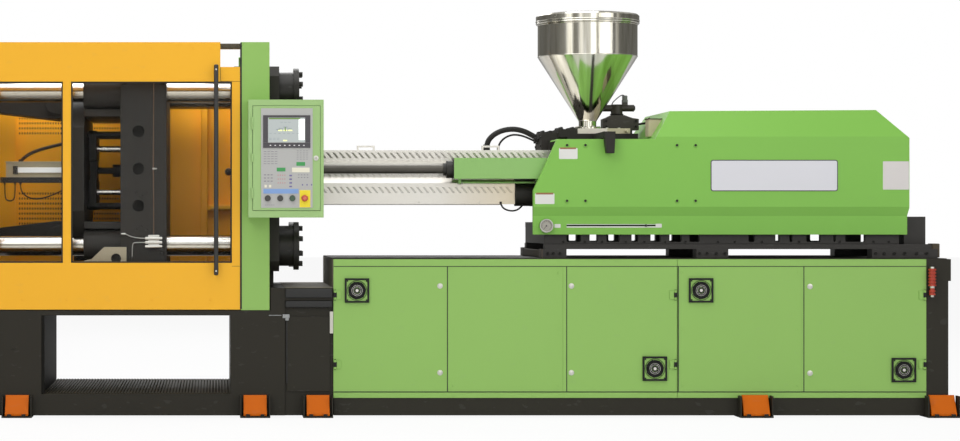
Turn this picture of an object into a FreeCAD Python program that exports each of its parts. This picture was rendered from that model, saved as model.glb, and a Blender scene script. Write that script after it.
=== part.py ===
import FreeCAD, Part
import Sketcher
import math
import os
from types import SimpleNamespace

# Horizontal injection moulding machine with a toggle clamp, about 400 tonnes of locking force.
# X runs along the machine from the clamp end to the injection end, Z is up, the floor is Z = 0.
# Y is measured from the machine's axis while a piece is built; the last step moves every piece
# by axis_shift, so that the origin lies under the middle of the whole machine.

doc = FreeCAD.newDocument("moulding_machine")
sheet = doc.addObject("Spreadsheet::Sheet", "dims")
size = SimpleNamespace()


class Size:
    """A number of the sheet, or a sum of some: its value and the expression that gives it."""

    def __init__(self, value, text):
        self.value = value
        self.text = text

    @staticmethod
    def of(other):
        return other if isinstance(other, Size) else Size(other, f"({other!r})")

    def __add__(self, other):
        other = Size.of(other)
        return Size(self.value + other.value, f"({self.text} + {other.text})")

    def __sub__(self, other):
        other = Size.of(other)
        return Size(self.value - other.value, f"({self.text} - {other.text})")

    def __mul__(self, factor):
        return Size(self.value * factor, f"({self.text} * ({factor!r}))")

    def __truediv__(self, divisor):
        return Size(self.value / divisor, f"({self.text} / ({divisor!r}))")

    def __neg__(self):
        return Size(-self.value, f"(-1 * {self.text})")

    def __radd__(self, other):
        return Size.of(other) + self

    def __rsub__(self, other):
        return Size.of(other) - self

    __rmul__ = __mul__


def dim(alias, value, note):
    row = len(vars(size)) + 1
    sheet.set(f"A{row}", note)
    sheet.set(f"B{row}", str(value))
    sheet.setAlias(f"B{row}", alias)
    setattr(size, alias, Size(value, f"dims.{alias}"))


def bind(obj, path, amount):
    obj.setExpression(path, Size.of(amount).text)


# ---------------------------------------------------------------- driving dimensions

dim("axis_shift", 75, "machine axis behind the middle of the whole machine")
dim("axis_height", 1443, "tie-bar and screw axis above the floor")
dim("front_face", 703, "gate and cabinet fronts, in front of the axis")
dim("left_end", -3471, "left end of the clamp unit")
dim("right_end", 3471, "right end of the injection base")
dim("pin_play", 0.08, "radial play of a pin in its eye")

dim("bar_pitch", 453, "tie bars from the axis, across and up")
dim("bar_radius", 57.5, "tie-bar radius")
dim("platen_half", 601, "half the side of a platen")
dim("fixed_face", -720, "mould face of the fixed platen")
dim("fixed_back", -456, "back of the fixed platen")
dim("moving_face", -1116, "mould face of the moving platen")
dim("moving_slab", 269, "thickness of the moving platen's slab")
dim("moving_back", -1677, "back of the moving platen's rear web")
dim("web", 76, "thickness of the rear web")

dim("pivot_height", 400, "toggle pivots from the axis")
dim("front_pivot", -1790, "platen pivots of the toggle")
dim("link_length", 370, "pin to pin on every toggle link")
dim("toggle_pin", 30, "toggle pin radius")
dim("knee_radius", 50, "eye of a toggle link")
dim("crank_run", 85, "crank pin to the right of the tail pivot")
dim("crank_drop", 123.6, "crank pin nearer the axis than the tail pivot")
dim("crank_pin", 22, "crank pin radius")
dim("tail_face", -2695, "front face of the tail platen")
dim("tail_back", -2895, "back of the tail platen")
dim("cylinder_length", 320, "clamp cylinder behind the tail platen")
dim("ram_radius", 40, "clamp ram radius")

dim("foot_height", 9, "bottom of the base beams")
dim("base_rear", 600, "back of both bases, behind the axis")
dim("beam_top", 133, "top of the lower base beams")
dim("clamp_top", 748, "top of the clamp base")
dim("clamp_right", -426, "right end of the clamp base")
dim("window_left", -1839, "left side of the base window")
dim("window_right", -742, "right side of the base window")
dim("window_top", 589, "top of the base window")

dim("guard_low", 623, "bottom of the guards")
dim("guard_top", 2175, "top of the guards")
dim("gate_left", -2230, "left edge of the gates")
dim("gate_right", -687, "right edge of the gates")
dim("gate_depth", 40, "thickness of a gate")
dim("pane_low", 894, "bottom of the gate windows")
dim("pane_top", 1946, "top of the gate windows")
dim("column_left", -682, "left edge of the column guards")
dim("column_right", -516, "right edge of the column guards")

dim("bed_left", -145, "left end of the injection base")
dim("bed_right", 3294, "right end of the green fronts")
dim("plinth_top", 111, "top of the plinth")
dim("door_low", 144, "bottom edge of the doors")
dim("door_top", 872, "top edge of the doors")
dim("bed_top", 915, "top of the green header")
dim("deck_top", 920, "top of the injection base")

dim("cover_half", 503, "half the width of the injection cover")
dim("cover_low", 1057, "bottom edge of the injection cover")
dim("rail_low", 971, "bottom of the guide rails")
dim("rail_top", 1000, "top of the guide rails")
dim("hopper_axis", 1437, "hopper axis")
dim("hopper_radius", 301, "hopper cylinder radius")
dim("hopper_wall", 3, "hopper sheet")

doc.recompute()


# ---------------------------------------------------------------- how pieces are made

parts = {}


def finish(label, shape):
    """Names a finished piece and moves it from the machine's axis to the frame."""
    if shape.TypeId in ("Part::Box", "Part::Cylinder", "Part::Cone"):
        single = doc.addObject("Part::Compound", label)
        single.Links = [shape]
        shape = single
    shape.Label = label
    bind(shape, "Placement.Base.y", size.axis_shift)
    parts[label] = shape
    return shape


def block(x, y, z):
    """A box between the low and high ends of three spans."""
    box = doc.addObject("Part::Box", "block")
    for side, axis, (low, high) in zip(("Length", "Width", "Height"), "xyz", (x, y, z)):
        bind(box, side, Size.of(high) - low)
        bind(box, f"Placement.Base.{axis}", low)
    return box


TURN = {
    "x": FreeCAD.Rotation(FreeCAD.Vector(0, 1, 0), 90),
    "y": FreeCAD.Rotation(FreeCAD.Vector(1, 0, 0), -90),
    "z": FreeCAD.Rotation(),
}


def rod(axis, x, y, z, radius, end_radius=None):
    """A round bar or taper along one axis: that axis gets a span, the others a place."""
    kind = "Part::Cylinder" if end_radius is None else "Part::Cone"
    bar = doc.addObject(kind, "rod")
    bar.Placement = FreeCAD.Placement(FreeCAD.Vector(), TURN[axis])
    place = {"x": x, "y": y, "z": z}
    low, high = place[axis]
    place[axis] = low
    bind(bar, "Height", Size.of(high) - low)
    for letter, amount in place.items():
        bind(bar, f"Placement.Base.{letter}", amount)
    if end_radius is None:
        bind(bar, "Radius", radius)
    else:
        bind(bar, "Radius1", radius)
        bind(bar, "Radius2", end_radius)
    return bar


def join(*shapes):
    whole = doc.addObject("Part::MultiFuse", "join")
    whole.Shapes = list(shapes)
    return whole


def group(*shapes):
    """Separate solids that one file holds."""
    several = doc.addObject("Part::Compound", "group")
    several.Links = list(shapes)
    return several


def cut(base, *tools):
    rest = doc.addObject("Part::Cut", "cut")
    rest.Base = base
    rest.Tool = tools[0] if len(tools) == 1 else join(*tools)
    return rest


def body(label):
    return doc.addObject("PartDesign::Body", label)


def origin_of(piece, role):
    return next(f for f in piece.Origin.OriginFeatures if f.Role == role)


def sketch(piece, plane, loops, offset, centre=(0, 0)):
    """Closed outlines on a plane of the body's origin, every corner held by the sheet.

    A loop is a list of corners, or a circle given as (centre, radius).
    """
    outline = piece.newObject("Sketcher::SketchObject", "outline")
    outline.AttachmentSupport = [(origin_of(piece, f"{plane}_Plane"), "")]
    outline.MapMode = "FlatFace"
    for letter, amount in zip("xyz", (*centre, offset)):
        bind(outline, f"AttachmentOffset.Base.{letter}", amount)

    def hold(kind, curve, point, amount):
        amount = Size.of(amount)
        index = outline.addConstraint(Sketcher.Constraint(kind, -1, 1, curve, point, amount.value))
        outline.setExpression(f"Constraints[{index}]", amount.text)

    for loop in loops:
        first = outline.GeometryCount
        if isinstance(loop, tuple):
            (across, up), radius = loop
            across, up, radius = Size.of(across), Size.of(up), Size.of(radius)
            middle = FreeCAD.Vector(across.value, up.value, 0)
            outline.addGeometry(Part.Circle(middle, FreeCAD.Vector(0, 0, 1), radius.value))
            index = outline.addConstraint(Sketcher.Constraint("Radius", first, radius.value))
            outline.setExpression(f"Constraints[{index}]", radius.text)
            hold("DistanceX", first, 3, across)
            hold("DistanceY", first, 3, up)
            continue
        corners = [(Size.of(across), Size.of(up)) for across, up in loop]
        places = [FreeCAD.Vector(across.value, up.value, 0) for across, up in corners]
        count = len(places)
        for index, place in enumerate(places):
            outline.addGeometry(Part.LineSegment(place, places[(index + 1) % count]))
        for index in range(count):
            after = first + (index + 1) % count
            outline.addConstraint(Sketcher.Constraint("Coincident", first + index, 2, after, 1))
        for index, (across, up) in enumerate(corners):
            hold("DistanceX", first + index, 1, across)
            hold("DistanceY", first + index, 1, up)
    return outline


def add(piece, plane, loops, low, high):
    """Pads outlines between two places along the plane's own axis."""
    start = -Size.of(high) if plane == "XZ" else low
    pad = piece.newObject("PartDesign::Pad", "pad")
    pad.Profile = sketch(piece, plane, loops, start)
    bind(pad, "Length", Size.of(high) - low)
    return pad


def take(piece, plane, loops, low, high):
    """Pockets outlines between two places along the plane's own axis."""
    start = -Size.of(low) if plane == "XZ" else high
    pocket = piece.newObject("PartDesign::Pocket", "pocket")
    pocket.Profile = sketch(piece, plane, loops, start)
    bind(pocket, "Length", Size.of(high) - low)
    return pocket


def turn(piece, profile, centre, spindle):
    """Revolves an outline about the level (H) or upright (V) line through a place over the axis."""
    outline = sketch(piece, "XZ", [profile], 0, centre)
    turned = piece.newObject("PartDesign::Revolution", "turned")
    turned.Profile = outline
    turned.ReferenceAxis = (outline, [f"{spindle}_Axis"])
    turned.Angle = 360
    return turned


def repeat(piece, feature, axis, pitch, count):
    """Repeats a feature along an axis of the body's origin."""
    row = piece.newObject("PartDesign::LinearPattern", "row")
    row.Originals = [feature]
    row.Direction = (origin_of(piece, f"{axis}_Axis"), [""])
    bind(row, "Length", Size.of(pitch) * (count - 1))
    row.Occurrences = count
    piece.Tip = row
    return row


def rectangle(x, y):
    return [(x[0], y[0]), (x[1], y[0]), (x[1], y[1]), (x[0], y[1])]


def octagon(x, y, corner):
    """A rectangle with its corners cut off."""
    (west, east), (south, north) = x, y
    return [
        (Size.of(west) + corner, south),
        (Size.of(east) - corner, south),
        (east, Size.of(south) + corner),
        (east, Size.of(north) - corner),
        (Size.of(east) - corner, north),
        (Size.of(west) + corner, north),
        (west, Size.of(north) - corner),
        (west, Size.of(south) + corner),
    ]


def both(span):
    """The span on the near side of the axis and its mirror image."""
    low, high = span
    return [(-Size.of(high), -Size.of(low)), (low, high)]


FULL = (-size.front_face, size.base_rear)
axis_height = size.axis_height
bar_places = [
    (side * size.bar_pitch, axis_height + level * size.bar_pitch)
    for side in (-1, 1)
    for level in (-1, 1)
]


# ---------------------------------------------------------------- clamp base


def clamp_base():
    """Welded box frame: lower and upper beams, posts, and a foot under the fixed platen."""
    cut_off_right = size.window_left - 240
    cut_off_left = size.left_end + 240
    frame = block((size.left_end, size.clamp_right), FULL, (size.foot_height, size.clamp_top))
    windows = [
        block(span, (-size.front_face - 10, size.base_rear + 10), (size.beam_top, size.window_top))
        for span in ((size.window_left, size.window_right), (cut_off_left, cut_off_right))
    ]
    inner = (100 - size.base_rear, size.base_rear - 100)
    wells = [
        block(span, inner, (size.foot_height - 5, size.clamp_top + 5))
        for span in ((size.window_left, size.window_right), (cut_off_left, cut_off_right))
    ]
    seat = block(
        (size.fixed_face + 30, size.fixed_back - 30),
        (-420, 420),
        (size.clamp_top - 1, axis_height - size.platen_half),
    )
    gate_lane = block(
        (size.left_end - 5, size.column_right + 6),
        (-size.front_face - 5, -size.base_rear),
        (size.guard_low - 5, size.clamp_top + 5),
    )
    finish("clamp_base", join(cut(frame, *windows, *wells, gate_lane), seat))


def tread_plate():
    """Bar grating laid in the base window as a floor over the frame's cross beams."""
    inside = (101 - size.base_rear, size.base_rear - 101)
    plate = block((size.window_left + 1, size.window_right - 1), inside, (95, size.beam_top - 6))
    slots = [
        block((size.window_left + start, size.window_left + start + 90), (-455, 455), (80, 140))
        for start in (60, 240, 420, 600, 780, 960)
    ]
    ledges = [
        block((size.window_left, size.window_right), span, (70, 96))
        for span in both((size.base_rear - 140, size.base_rear - 100))
    ]
    finish("tread_plate", join(cut(plate, *slots), *ledges))


def link_housing():
    """Sheet housing over the pipes between the two bases, with a shelf on top."""
    x = (size.clamp_right, size.bed_left)
    shell = body("link_housing")
    whole = rectangle(x, (size.foot_height, size.clamp_top))
    add(shell, "XZ", [whole], -size.front_face + 12, size.base_rear - 20)
    add(shell, "XZ", [rectangle((x[0], x[1]), (676, size.clamp_top))], -size.front_face, -680)
    pleat = add(shell, "XZ", [rectangle((x[0] + 12, x[0] + 22), (627, 672))], -size.front_face, -690)
    repeat(shell, pleat, "X", 22, 12)
    panel = rectangle((x[0] + 12, x[1] - 20), (148, 583))
    add(shell, "XZ", [panel], -size.front_face + 4, -690)
    finish("link_housing", shell)


FEET = [
    (-3440, -3266), (-2065, -1891), (-687, -513), (-322, -150), (2201, 2392), (3285, size.right_end),
]


def feet_each():
    """Every foot's span along X, the base's face over it and the way that it looks."""
    for face, outward in ((-size.front_face, -1), (size.base_rear, 1)):
        for low, high in FEET:
            yield Size.of(low), Size.of(high), face, outward


def outward_span(face, outward, near, far):
    """The Y span from near to far in front of a face that looks outward."""
    low, high = sorted((near * outward, far * outward))
    return face + low, face + high


def machine_feet():
    """Steel feet welded under the beams: a sole plate with two cheeks in front of the base."""
    feet = []
    for low, high, face, outward in feet_each():
        sole = block((low, high), outward_span(face, outward, -110, 75), (0, size.foot_height))
        reach = outward_span(face, outward, 0, 70)
        cheeks = [block(span, reach, (5, 125)) for span in ((low, low + 8), (high - 8, high))]
        feet.append(join(sole, *cheeks))
    finish("machine_feet", group(*feet))


def foot_pockets():
    """Painted pressed-steel covers set between the cheeks, open underneath."""
    covers = []
    for low, high, face, outward in feet_each():
        cover = body("foot_pocket")
        outer = [(0, 12), (70, 12), (70, 24), (16, 128), (0, 128)]
        inner = [(0, 10), (66, 10), (66, 22), (13, 124), (0, 124)]
        wall = [(face + outward * out, height) for out, height in outer]
        hollow = [(face + outward * out, height) for out, height in inner]
        add(cover, "YZ", [wall], low + 20, high - 20)
        take(cover, "YZ", [hollow], low + 24, high - 24)
        covers.append(cover)
    finish("foot_pockets", group(*covers))


# ---------------------------------------------------------------- injection base

BED_FACE = -size.front_face + 32


def injection_bed():
    """Welded base frame and oil tank: plinth, end columns, and bays behind the doors."""
    frame = block((size.bed_left, size.bed_right + 128), (BED_FACE, size.base_rear),
                  (size.foot_height, size.deck_top))
    plinth = block((size.bed_left + 3, size.bed_right), (-size.front_face + 6, BED_FACE + 5),
                   (size.foot_height, size.plinth_top))
    bays = [
        block((west, east), (BED_FACE - 5, BED_FACE + 330), (size.plinth_top + 45, size.door_top - 20))
        for west, east in (
            (size.bed_left + 40, 479), (559, 1146), (1226, 1810), (1890, 2532),
            (2612, size.bed_right - 40),
        )
    ]
    column = block((size.bed_right, size.bed_right + 128), (-size.front_face, BED_FACE + 5),
                   (size.foot_height, 789))
    shoulder = block((size.bed_right, size.bed_right + 143), (-size.front_face, size.base_rear - 40),
                     (789, size.deck_top - 4))
    finish("injection_bed", cut(join(frame, plinth, column, shoulder), *bays))


def cabinet_frames():
    """Green sheet frames round the doors: a header, a sill and the uprights of two cabinets."""
    frames = []
    for west, east, upright in ((size.bed_left, 1849, 519), (1851, size.bed_right, 2572)):
        frame = body("cabinet_frame")
        outer = rectangle((west, east), (size.plinth_top, size.bed_top))
        add(frame, "XZ", [outer], -size.front_face, BED_FACE - 1)
        lanes = (size.door_low - 2, size.door_top + 2)
        west, east = Size.of(west), Size.of(east)
        openings = (
            ((west - 5, 517), (521, 1184), (1188, east + 5))
            if upright == 519 else ((west - 5, 2570), (2574, east + 5))
        )
        for opening in openings:
            take(frame, "XZ", [rectangle(opening, lanes)], -size.front_face - 1, -size.front_face + 26)
        for opening in openings:
            inner = (Size.of(opening[0]) + 40, Size.of(opening[1]) - 40)
            hole = rectangle(inner, (size.plinth_top + 45, size.door_top - 20))
            take(frame, "XZ", [hole], -size.front_face, BED_FACE)
        frames.append(frame)
    finish("cabinet_frames", group(*frames))


def sheet_panel(west, east, fans=()):
    """A folded sheet door or panel, with a square fan housing where one is fitted."""
    panel = body("panel")
    face = -size.front_face
    add(panel, "XZ", [rectangle((west, east), (size.door_low, size.door_top))], face, face + 24)
    inside = (Size.of(west) + 2, Size.of(east) - 2)
    hollow = rectangle(inside, (size.door_low + 2, size.door_top - 2))
    take(panel, "XZ", [hollow], face + 2.5, face + 25)
    for middle, height in fans:
        frame = rectangle((middle - 70, middle + 70), (height - 70, height + 70))
        add(panel, "XZ", [frame], face - 9, face + 20)
        take(panel, "XZ", [((middle, height), 58)], face - 10, face - 4)
        take(panel, "XZ", [((middle, height), 50)], face - 5, face + 8)
        add(panel, "XZ", [((middle, height), 22)], face - 5, face + 15)
    return panel


def with_hinges(panel, post, inward):
    """Adds the knuckles and leaves of two surface hinges beside the closing post."""
    face = -size.front_face
    hinges = []
    for height in (305, 708):
        hinges.append(rod("z", post, face - 7, (height - 28, height + 28), 7))
        span = (post, post + 34) if inward > 0 else (post - 34, post)
        hinges.append(block(span, (face - 7, face + 1), (height - 24, height + 24)))
    return join(panel, *hinges)


def cabinet_doors():
    """Three hinged doors and two screwed panels, all folded from sheet."""
    left = sheet_panel(size.bed_left, 517, fans=((-9, 734),))
    finish("door_left", with_hinges(left, size.bed_left + 9, 1))
    middle = sheet_panel(1188, 1848, fans=((1718, 281),))
    finish("door_middle", with_hinges(middle, Size.of(1839), -1))
    right = sheet_panel(2574, size.bed_right, fans=((3162, 273),))
    finish("door_right", with_hinges(right, size.bed_right - 9, -1))
    fixed = sheet_panel(521, 1184)
    fan_side = sheet_panel(1852, 2570, fans=((1986, 735),))
    finish("fixed_panels", group(fixed, fan_side))


def base_contents():
    """What the doors open on: switchgear, the pump with its motor, and the oil cooler."""
    back = BED_FACE + 330
    plate = block((-60, 440), (back - 8, back), (190, 800))
    rows = [
        block((x, x + 62), (back - 95, back - 7), (height, height + 110))
        for height in (230, 400, 570) for x in (-40, 40, 120, 200, 280, 360)
    ]
    ducts = [
        block((-50, 430), (back - 60, back - 7), (height, height + 32))
        for height in (190, 360, 530, 700)
    ]
    finish("switchgear", join(plate, *rows, *ducts))

    axis = (BED_FACE + 165, 360)
    frame = rod("x", (1290, 1560), *axis, 120)
    fins = [rod("x", (start, start + 10), *axis, 132) for start in range(1306, 1550, 40)]
    bell = rod("x", (1558, 1640), *axis, 120, 75)
    pump = rod("x", (1638, 1740), *axis, 70)
    foot = block((1320, 1530), (axis[0] - 110, axis[0] + 110), (size.plinth_top + 45, 262))
    box = block((1370, 1480), (axis[0] - 60, axis[0] + 60), (470, 545))
    finish("pump_motor", join(frame, *fins, bell, pump, foot, box))

    shell = rod("x", (2660, 3200), BED_FACE + 160, 520, 75)
    heads = [rod("x", span, BED_FACE + 160, 520, 92) for span in ((2640, 2662), (3198, 3220))]
    legs = [
        block((x, x + 30), (BED_FACE + 110, BED_FACE + 210), (size.plinth_top + 45, 460))
        for x in (2740, 3100)
    ]
    finish("oil_cooler", join(shell, *heads, *legs))


def water_couplings():
    """Two painted water couplings that stand out of the end column, each a stack of rings."""
    stacks = []
    for low, high, radius in ((760, 862, 22), (708, 748, 18)):
        run = Size.of(low)
        neck = rod("z", size.bed_right + 27, -size.front_face + 24 - 50, (low, high), radius - 5)
        collars = [
            rod("z", size.bed_right + 27, -size.front_face + 24 - 50, (run + step, run + step + 9), radius)
            for step in range(0, high - low - 8, 18)
        ]
        arm = block((size.bed_right + 16, size.bed_right + 38),
                    (-size.front_face - 28, -size.front_face), (low + 8, low + 26))
        stacks.append(join(neck, *collars, arm))
    finish("water_couplings", group(*stacks))


# ---------------------------------------------------------------- fixed clamp parts


def bar_rods(x, radius):
    """Four bars, one in each tie-bar place."""
    return [rod("x", x, side, level, radius) for side, level in bar_places]


def fixed_platen():
    """Cast platen that holds the fixed mould half, with the opening for the nozzle."""
    platen = body("fixed_platen")
    half = size.platen_half
    square = octagon((-half, half), (axis_height - half, axis_height + half), 60)
    add(platen, "YZ", [square], size.fixed_face, size.fixed_back)
    for side, level in bar_places:
        take(platen, "YZ", [((side, level), size.bar_radius + 0.05)],
             size.fixed_face - 1, size.fixed_back + 1)
    take(platen, "YZ", [((0, axis_height), 80)], size.fixed_face - 1, size.fixed_face + 14)
    take(platen, "YZ", [((0, axis_height), 60)], size.fixed_face + 13, size.fixed_back + 1)
    take(platen, "YZ", [((0, axis_height), 220)], size.fixed_face + 110, size.fixed_back + 1)
    bolts = [
        ((side * across, axis_height + level * up), 12)
        for side in (-1, 1) for level in (-1, 1)
        for across, up in ((140, 280), (280, 140), (280, 280), (140, 420))
    ]
    take(platen, "YZ", bolts, size.fixed_face - 1, size.fixed_face + 45)
    finish("fixed_platen", platen)


def tie_bars():
    """Four ground steel bars that carry the clamping force between the outer platens."""
    finish("tie_bars", group(*bar_rods((size.tail_back - 180, size.fixed_back + 95), size.bar_radius)))


def tie_bar_nuts():
    """Round retaining nuts behind the fixed platen, each with its clamping flange."""
    nuts = []
    for side, level in bar_places:
        nut = rod("x", (size.fixed_back, size.fixed_back + 88), side, level, 118)
        flange = rod("x", (size.fixed_back + 87, size.fixed_back + 117), side, level, 141)
        bore = rod("x", (size.fixed_back - 1, size.fixed_back + 96), side, level, size.bar_radius + 0.05)
        nuts.append(cut(join(nut, flange), bore))
    finish("tie_bar_nuts", group(*nuts))


def column_guards():
    """Folded sheet columns beside the fixed platen, front and rear."""
    columns = []
    for outward in (-1, 1):
        face = size.front_face * outward
        column = body("column")
        y = sorted((0, -outward * 102))
        outline = rectangle((size.column_left, size.column_right), (size.guard_low - 3, size.guard_top))
        add(column, "XZ", [outline], face + y[0], face + y[1])
        inner = (size.column_left + 3, size.column_right - 3)
        hollow = rectangle(inner, (size.guard_low, size.guard_top - 3))
        inside = sorted((-outward * 3, -outward * 103))
        take(column, "XZ", [hollow], face + inside[0], face + inside[1])
        columns.append(column)
    finish("column_guards", group(*columns))


def gate_tracks():
    """Rails that the two gates hang on and slide along."""
    rails = []
    for outward, end in ((-1, size.column_left), (1, -800)):
        inner = size.front_face * outward - outward * 52
        y = (inner - 12, inner + 12)
        x = (size.left_end + 5, end)
        top = block(x, y, (2137, 2166))
        low = block(x, y, (640, 668))
        rails += [top, low]
    finish("gate_tracks", group(*rails))


def tail_guard():
    """Fixed sheet guard round the clamp end, folded from one strip and plain at the end."""
    guard = body("tail_guard")
    reach = size.front_face - 64
    strip = [
        (size.gate_left + 128, -reach),
        (size.left_end, -reach),
        (size.left_end, reach),
        (size.gate_left + 128, reach),
        (size.gate_left + 128, reach - 3),
        (size.left_end + 3, reach - 3),
        (size.left_end + 3, -reach + 3),
        (size.gate_left + 128, -reach + 3),
    ]
    add(guard, "XY", [strip], size.clamp_top, size.guard_top - 60)
    finish("tail_guard", guard)


# ---------------------------------------------------------------- toggle and moving platen

TAIL_PIVOT = size.front_pivot - size.link_length * 2
KNEE = size.front_pivot - size.link_length
CRANK = TAIL_PIVOT + size.crank_run
SLAB_BACK = size.moving_face - size.moving_slab
WEB_FACE = size.moving_back + size.web
CHEEK = (30, 70)
REAR_PLATE = (80, 125)
FRONT_PLATE = (130, 175)
OUTER_LUG = (180, 225)


def pivots():
    """The upper and lower pivot heights, and which way the axis lies from each."""
    return ((axis_height + size.pivot_height, -1), (axis_height - size.pivot_height, 1))


def tail_platen():
    """Cast platen behind the toggle, with the clevises of its two rear pivots."""
    platen = body("tail_platen")
    half = size.platen_half
    square = octagon((-half, half), (axis_height - half, axis_height + half), 60)
    add(platen, "YZ", [square], size.tail_back, size.tail_face)
    foot = rectangle((-590, 590), (size.clamp_top + 0.5, axis_height - half + 80))
    add(platen, "YZ", [foot], size.tail_back, size.tail_face)
    for side, level in bar_places:
        take(platen, "YZ", [((side, level), size.bar_radius + 0.05)], size.tail_back - 1, size.tail_face + 1)
    take(platen, "YZ", [((0, axis_height), size.ram_radius + 0.05)], size.tail_back - 1, size.tail_face + 1)
    for height, inward in pivots():
        lug = [
            (size.tail_face - 1, height + inward * 50),
            (TAIL_PIVOT, height + inward * 50),
            (TAIL_PIVOT, height - inward * 50),
            (size.tail_face - 1, height - inward * 90),
        ]
        for layer in both(CHEEK) + both(FRONT_PLATE):
            add(platen, "XZ", [lug], *layer)
            add(platen, "XZ", [((TAIL_PIVOT, height), 50)], *layer)
        for span in both((30, 175)):
            add(platen, "XZ", [((TAIL_PIVOT, height), size.toggle_pin)], *span)
    finish("tail_platen", platen)


def adjusting_nuts():
    """Geared nuts on the tie bars that set the mould height, held behind the tail platen."""
    nuts = []
    for side, level in bar_places:
        nut = rod("x", (size.tail_back - 80, size.tail_back), side, level, 90)
        ring = rod("x", (size.tail_back - 60, size.tail_back - 25), side, level, 120)
        bore = rod("x", (size.tail_back - 85, size.tail_back + 5), side, level, size.bar_radius + 0.05)
        nuts.append(cut(join(nut, ring), bore))
    finish("adjusting_nuts", group(*nuts))


def clamp_cylinder():
    """Hydraulic cylinder that drives the crosshead, with flanged ends."""
    end = size.tail_back - size.cylinder_length
    tube = rod("x", (end, size.tail_back), 0, axis_height, 95)
    flange = rod("x", (size.tail_back - 40, size.tail_back), 0, axis_height, 150)
    cap = rod("x", (end, end + 45), 0, axis_height, 125)
    bore = rod("x", (end + 40, size.tail_back + 1), 0, axis_height, size.ram_radius + 0.05)
    finish("clamp_cylinder", cut(join(tube, flange, cap), bore))


def plate_between(piece, first, first_radius, second, second_radius, layer):
    """An eye plate: two round ends with the straight sides between them."""
    (start, start_height), (end, end_height) = first, second
    add(piece, "XZ", [(first, first_radius)], *layer)
    add(piece, "XZ", [(second, second_radius)], *layer)
    sides = [
        (start, start_height - first_radius),
        (end, end_height - second_radius),
        (end, end_height + second_radius),
        (start, start_height + first_radius),
    ]
    add(piece, "XZ", [sides], *layer)


def rear_link(label, height, inward):
    """Forged bell crank: knee arm and crank arm in two plates, tied across, with its pins."""
    link = body(label)
    tail = (TAIL_PIVOT, height)
    crank = (CRANK, height + size.crank_drop * inward)
    tie = rectangle((TAIL_PIVOT + 130, TAIL_PIVOT + 240), (height - 25, height + 25))
    add(link, "XZ", [tie], -REAR_PLATE[1], REAR_PLATE[1])
    for layer in both(REAR_PLATE):
        plate_between(link, tail, 50, (KNEE, height), size.knee_radius, layer)
        add(link, "XZ", [(crank, 36)], *layer)
        arm = [
            (TAIL_PIVOT - 46, height + inward * 18),
            (CRANK - 34, height + (size.crank_drop + 12) * inward),
            (CRANK + 34, height + (size.crank_drop - 12) * inward),
            (TAIL_PIVOT + 130, height + inward * 45),
        ]
        add(link, "XZ", [arm], *layer)
        take(link, "XZ", [(tail, size.toggle_pin + size.pin_play)], layer[0] - 1, layer[1] + 1)
    for span in both((REAR_PLATE[0], FRONT_PLATE[1] + 1)):
        add(link, "XZ", [((KNEE, height), size.toggle_pin)], *span)
    for span in both((CHEEK[0], REAR_PLATE[0] + 1)):
        add(link, "XZ", [(crank, size.crank_pin)], *span)
    finish(label, link)


def front_link(label, height, eye_play):
    """Forged link from knee to platen, widening towards the platen's pin."""
    link = body(label)
    tie = rectangle((KNEE + 130, KNEE + 240), (height - 25, height + 25))
    add(link, "XZ", [tie], -FRONT_PLATE[1], FRONT_PLATE[1])
    for layer in both(FRONT_PLATE):
        plate_between(link, (KNEE, height), size.knee_radius, (size.front_pivot, height), 94, layer)
        reach = (layer[0] - 1, layer[1] + 1)
        take(link, "XZ", [((KNEE, height), size.toggle_pin + size.pin_play)], *reach)
        take(link, "XZ", [((size.front_pivot, height), size.toggle_pin + eye_play)], *reach)
    finish(label, link)


def toggle_links():
    upper, lower = pivots()
    rear_link("rear_link_upper", *upper)
    rear_link("rear_link_lower", *lower)
    front_link("front_link_upper", upper[0], size.pin_play)
    front_link("front_link_lower", lower[0], 0.5)


def crosshead():
    """Crosshead on the clamp ram; its slotted cheeks drive the crank pins of the rear links."""
    head = body("crosshead")
    width = (CRANK - 45, CRANK + 45)
    for layer in both(CHEEK):
        add(head, "XZ", [rectangle(width, (axis_height - 330, axis_height + 330))], *layer)
    hub = rectangle(width, (axis_height - 70, axis_height + 70))
    add(head, "XZ", [hub], -CHEEK[0] - 1, CHEEK[0] + 1)
    add(head, "YZ", [((0, axis_height), size.ram_radius)], size.tail_back - 30, CRANK - 44)
    slot = (CRANK - size.crank_pin - 2.5, CRANK + size.crank_pin + 2.5)
    for side in (-1, 1):
        near, far = sorted((side * 225, side * 302))
        window = rectangle(slot, (axis_height + near, axis_height + far))
        take(head, "XZ", [window], -CHEEK[1] - 1, CHEEK[1] + 1)
    finish("crosshead", head)


EJECTOR_GUIDES = [(side * 170, level * 215) for side in (-1, 1) for level in (-1, 1)]
EJECTOR_PINS = [(side * 130, level * 131) for side in (-1, 1) for level in (-1, 1)]


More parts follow.
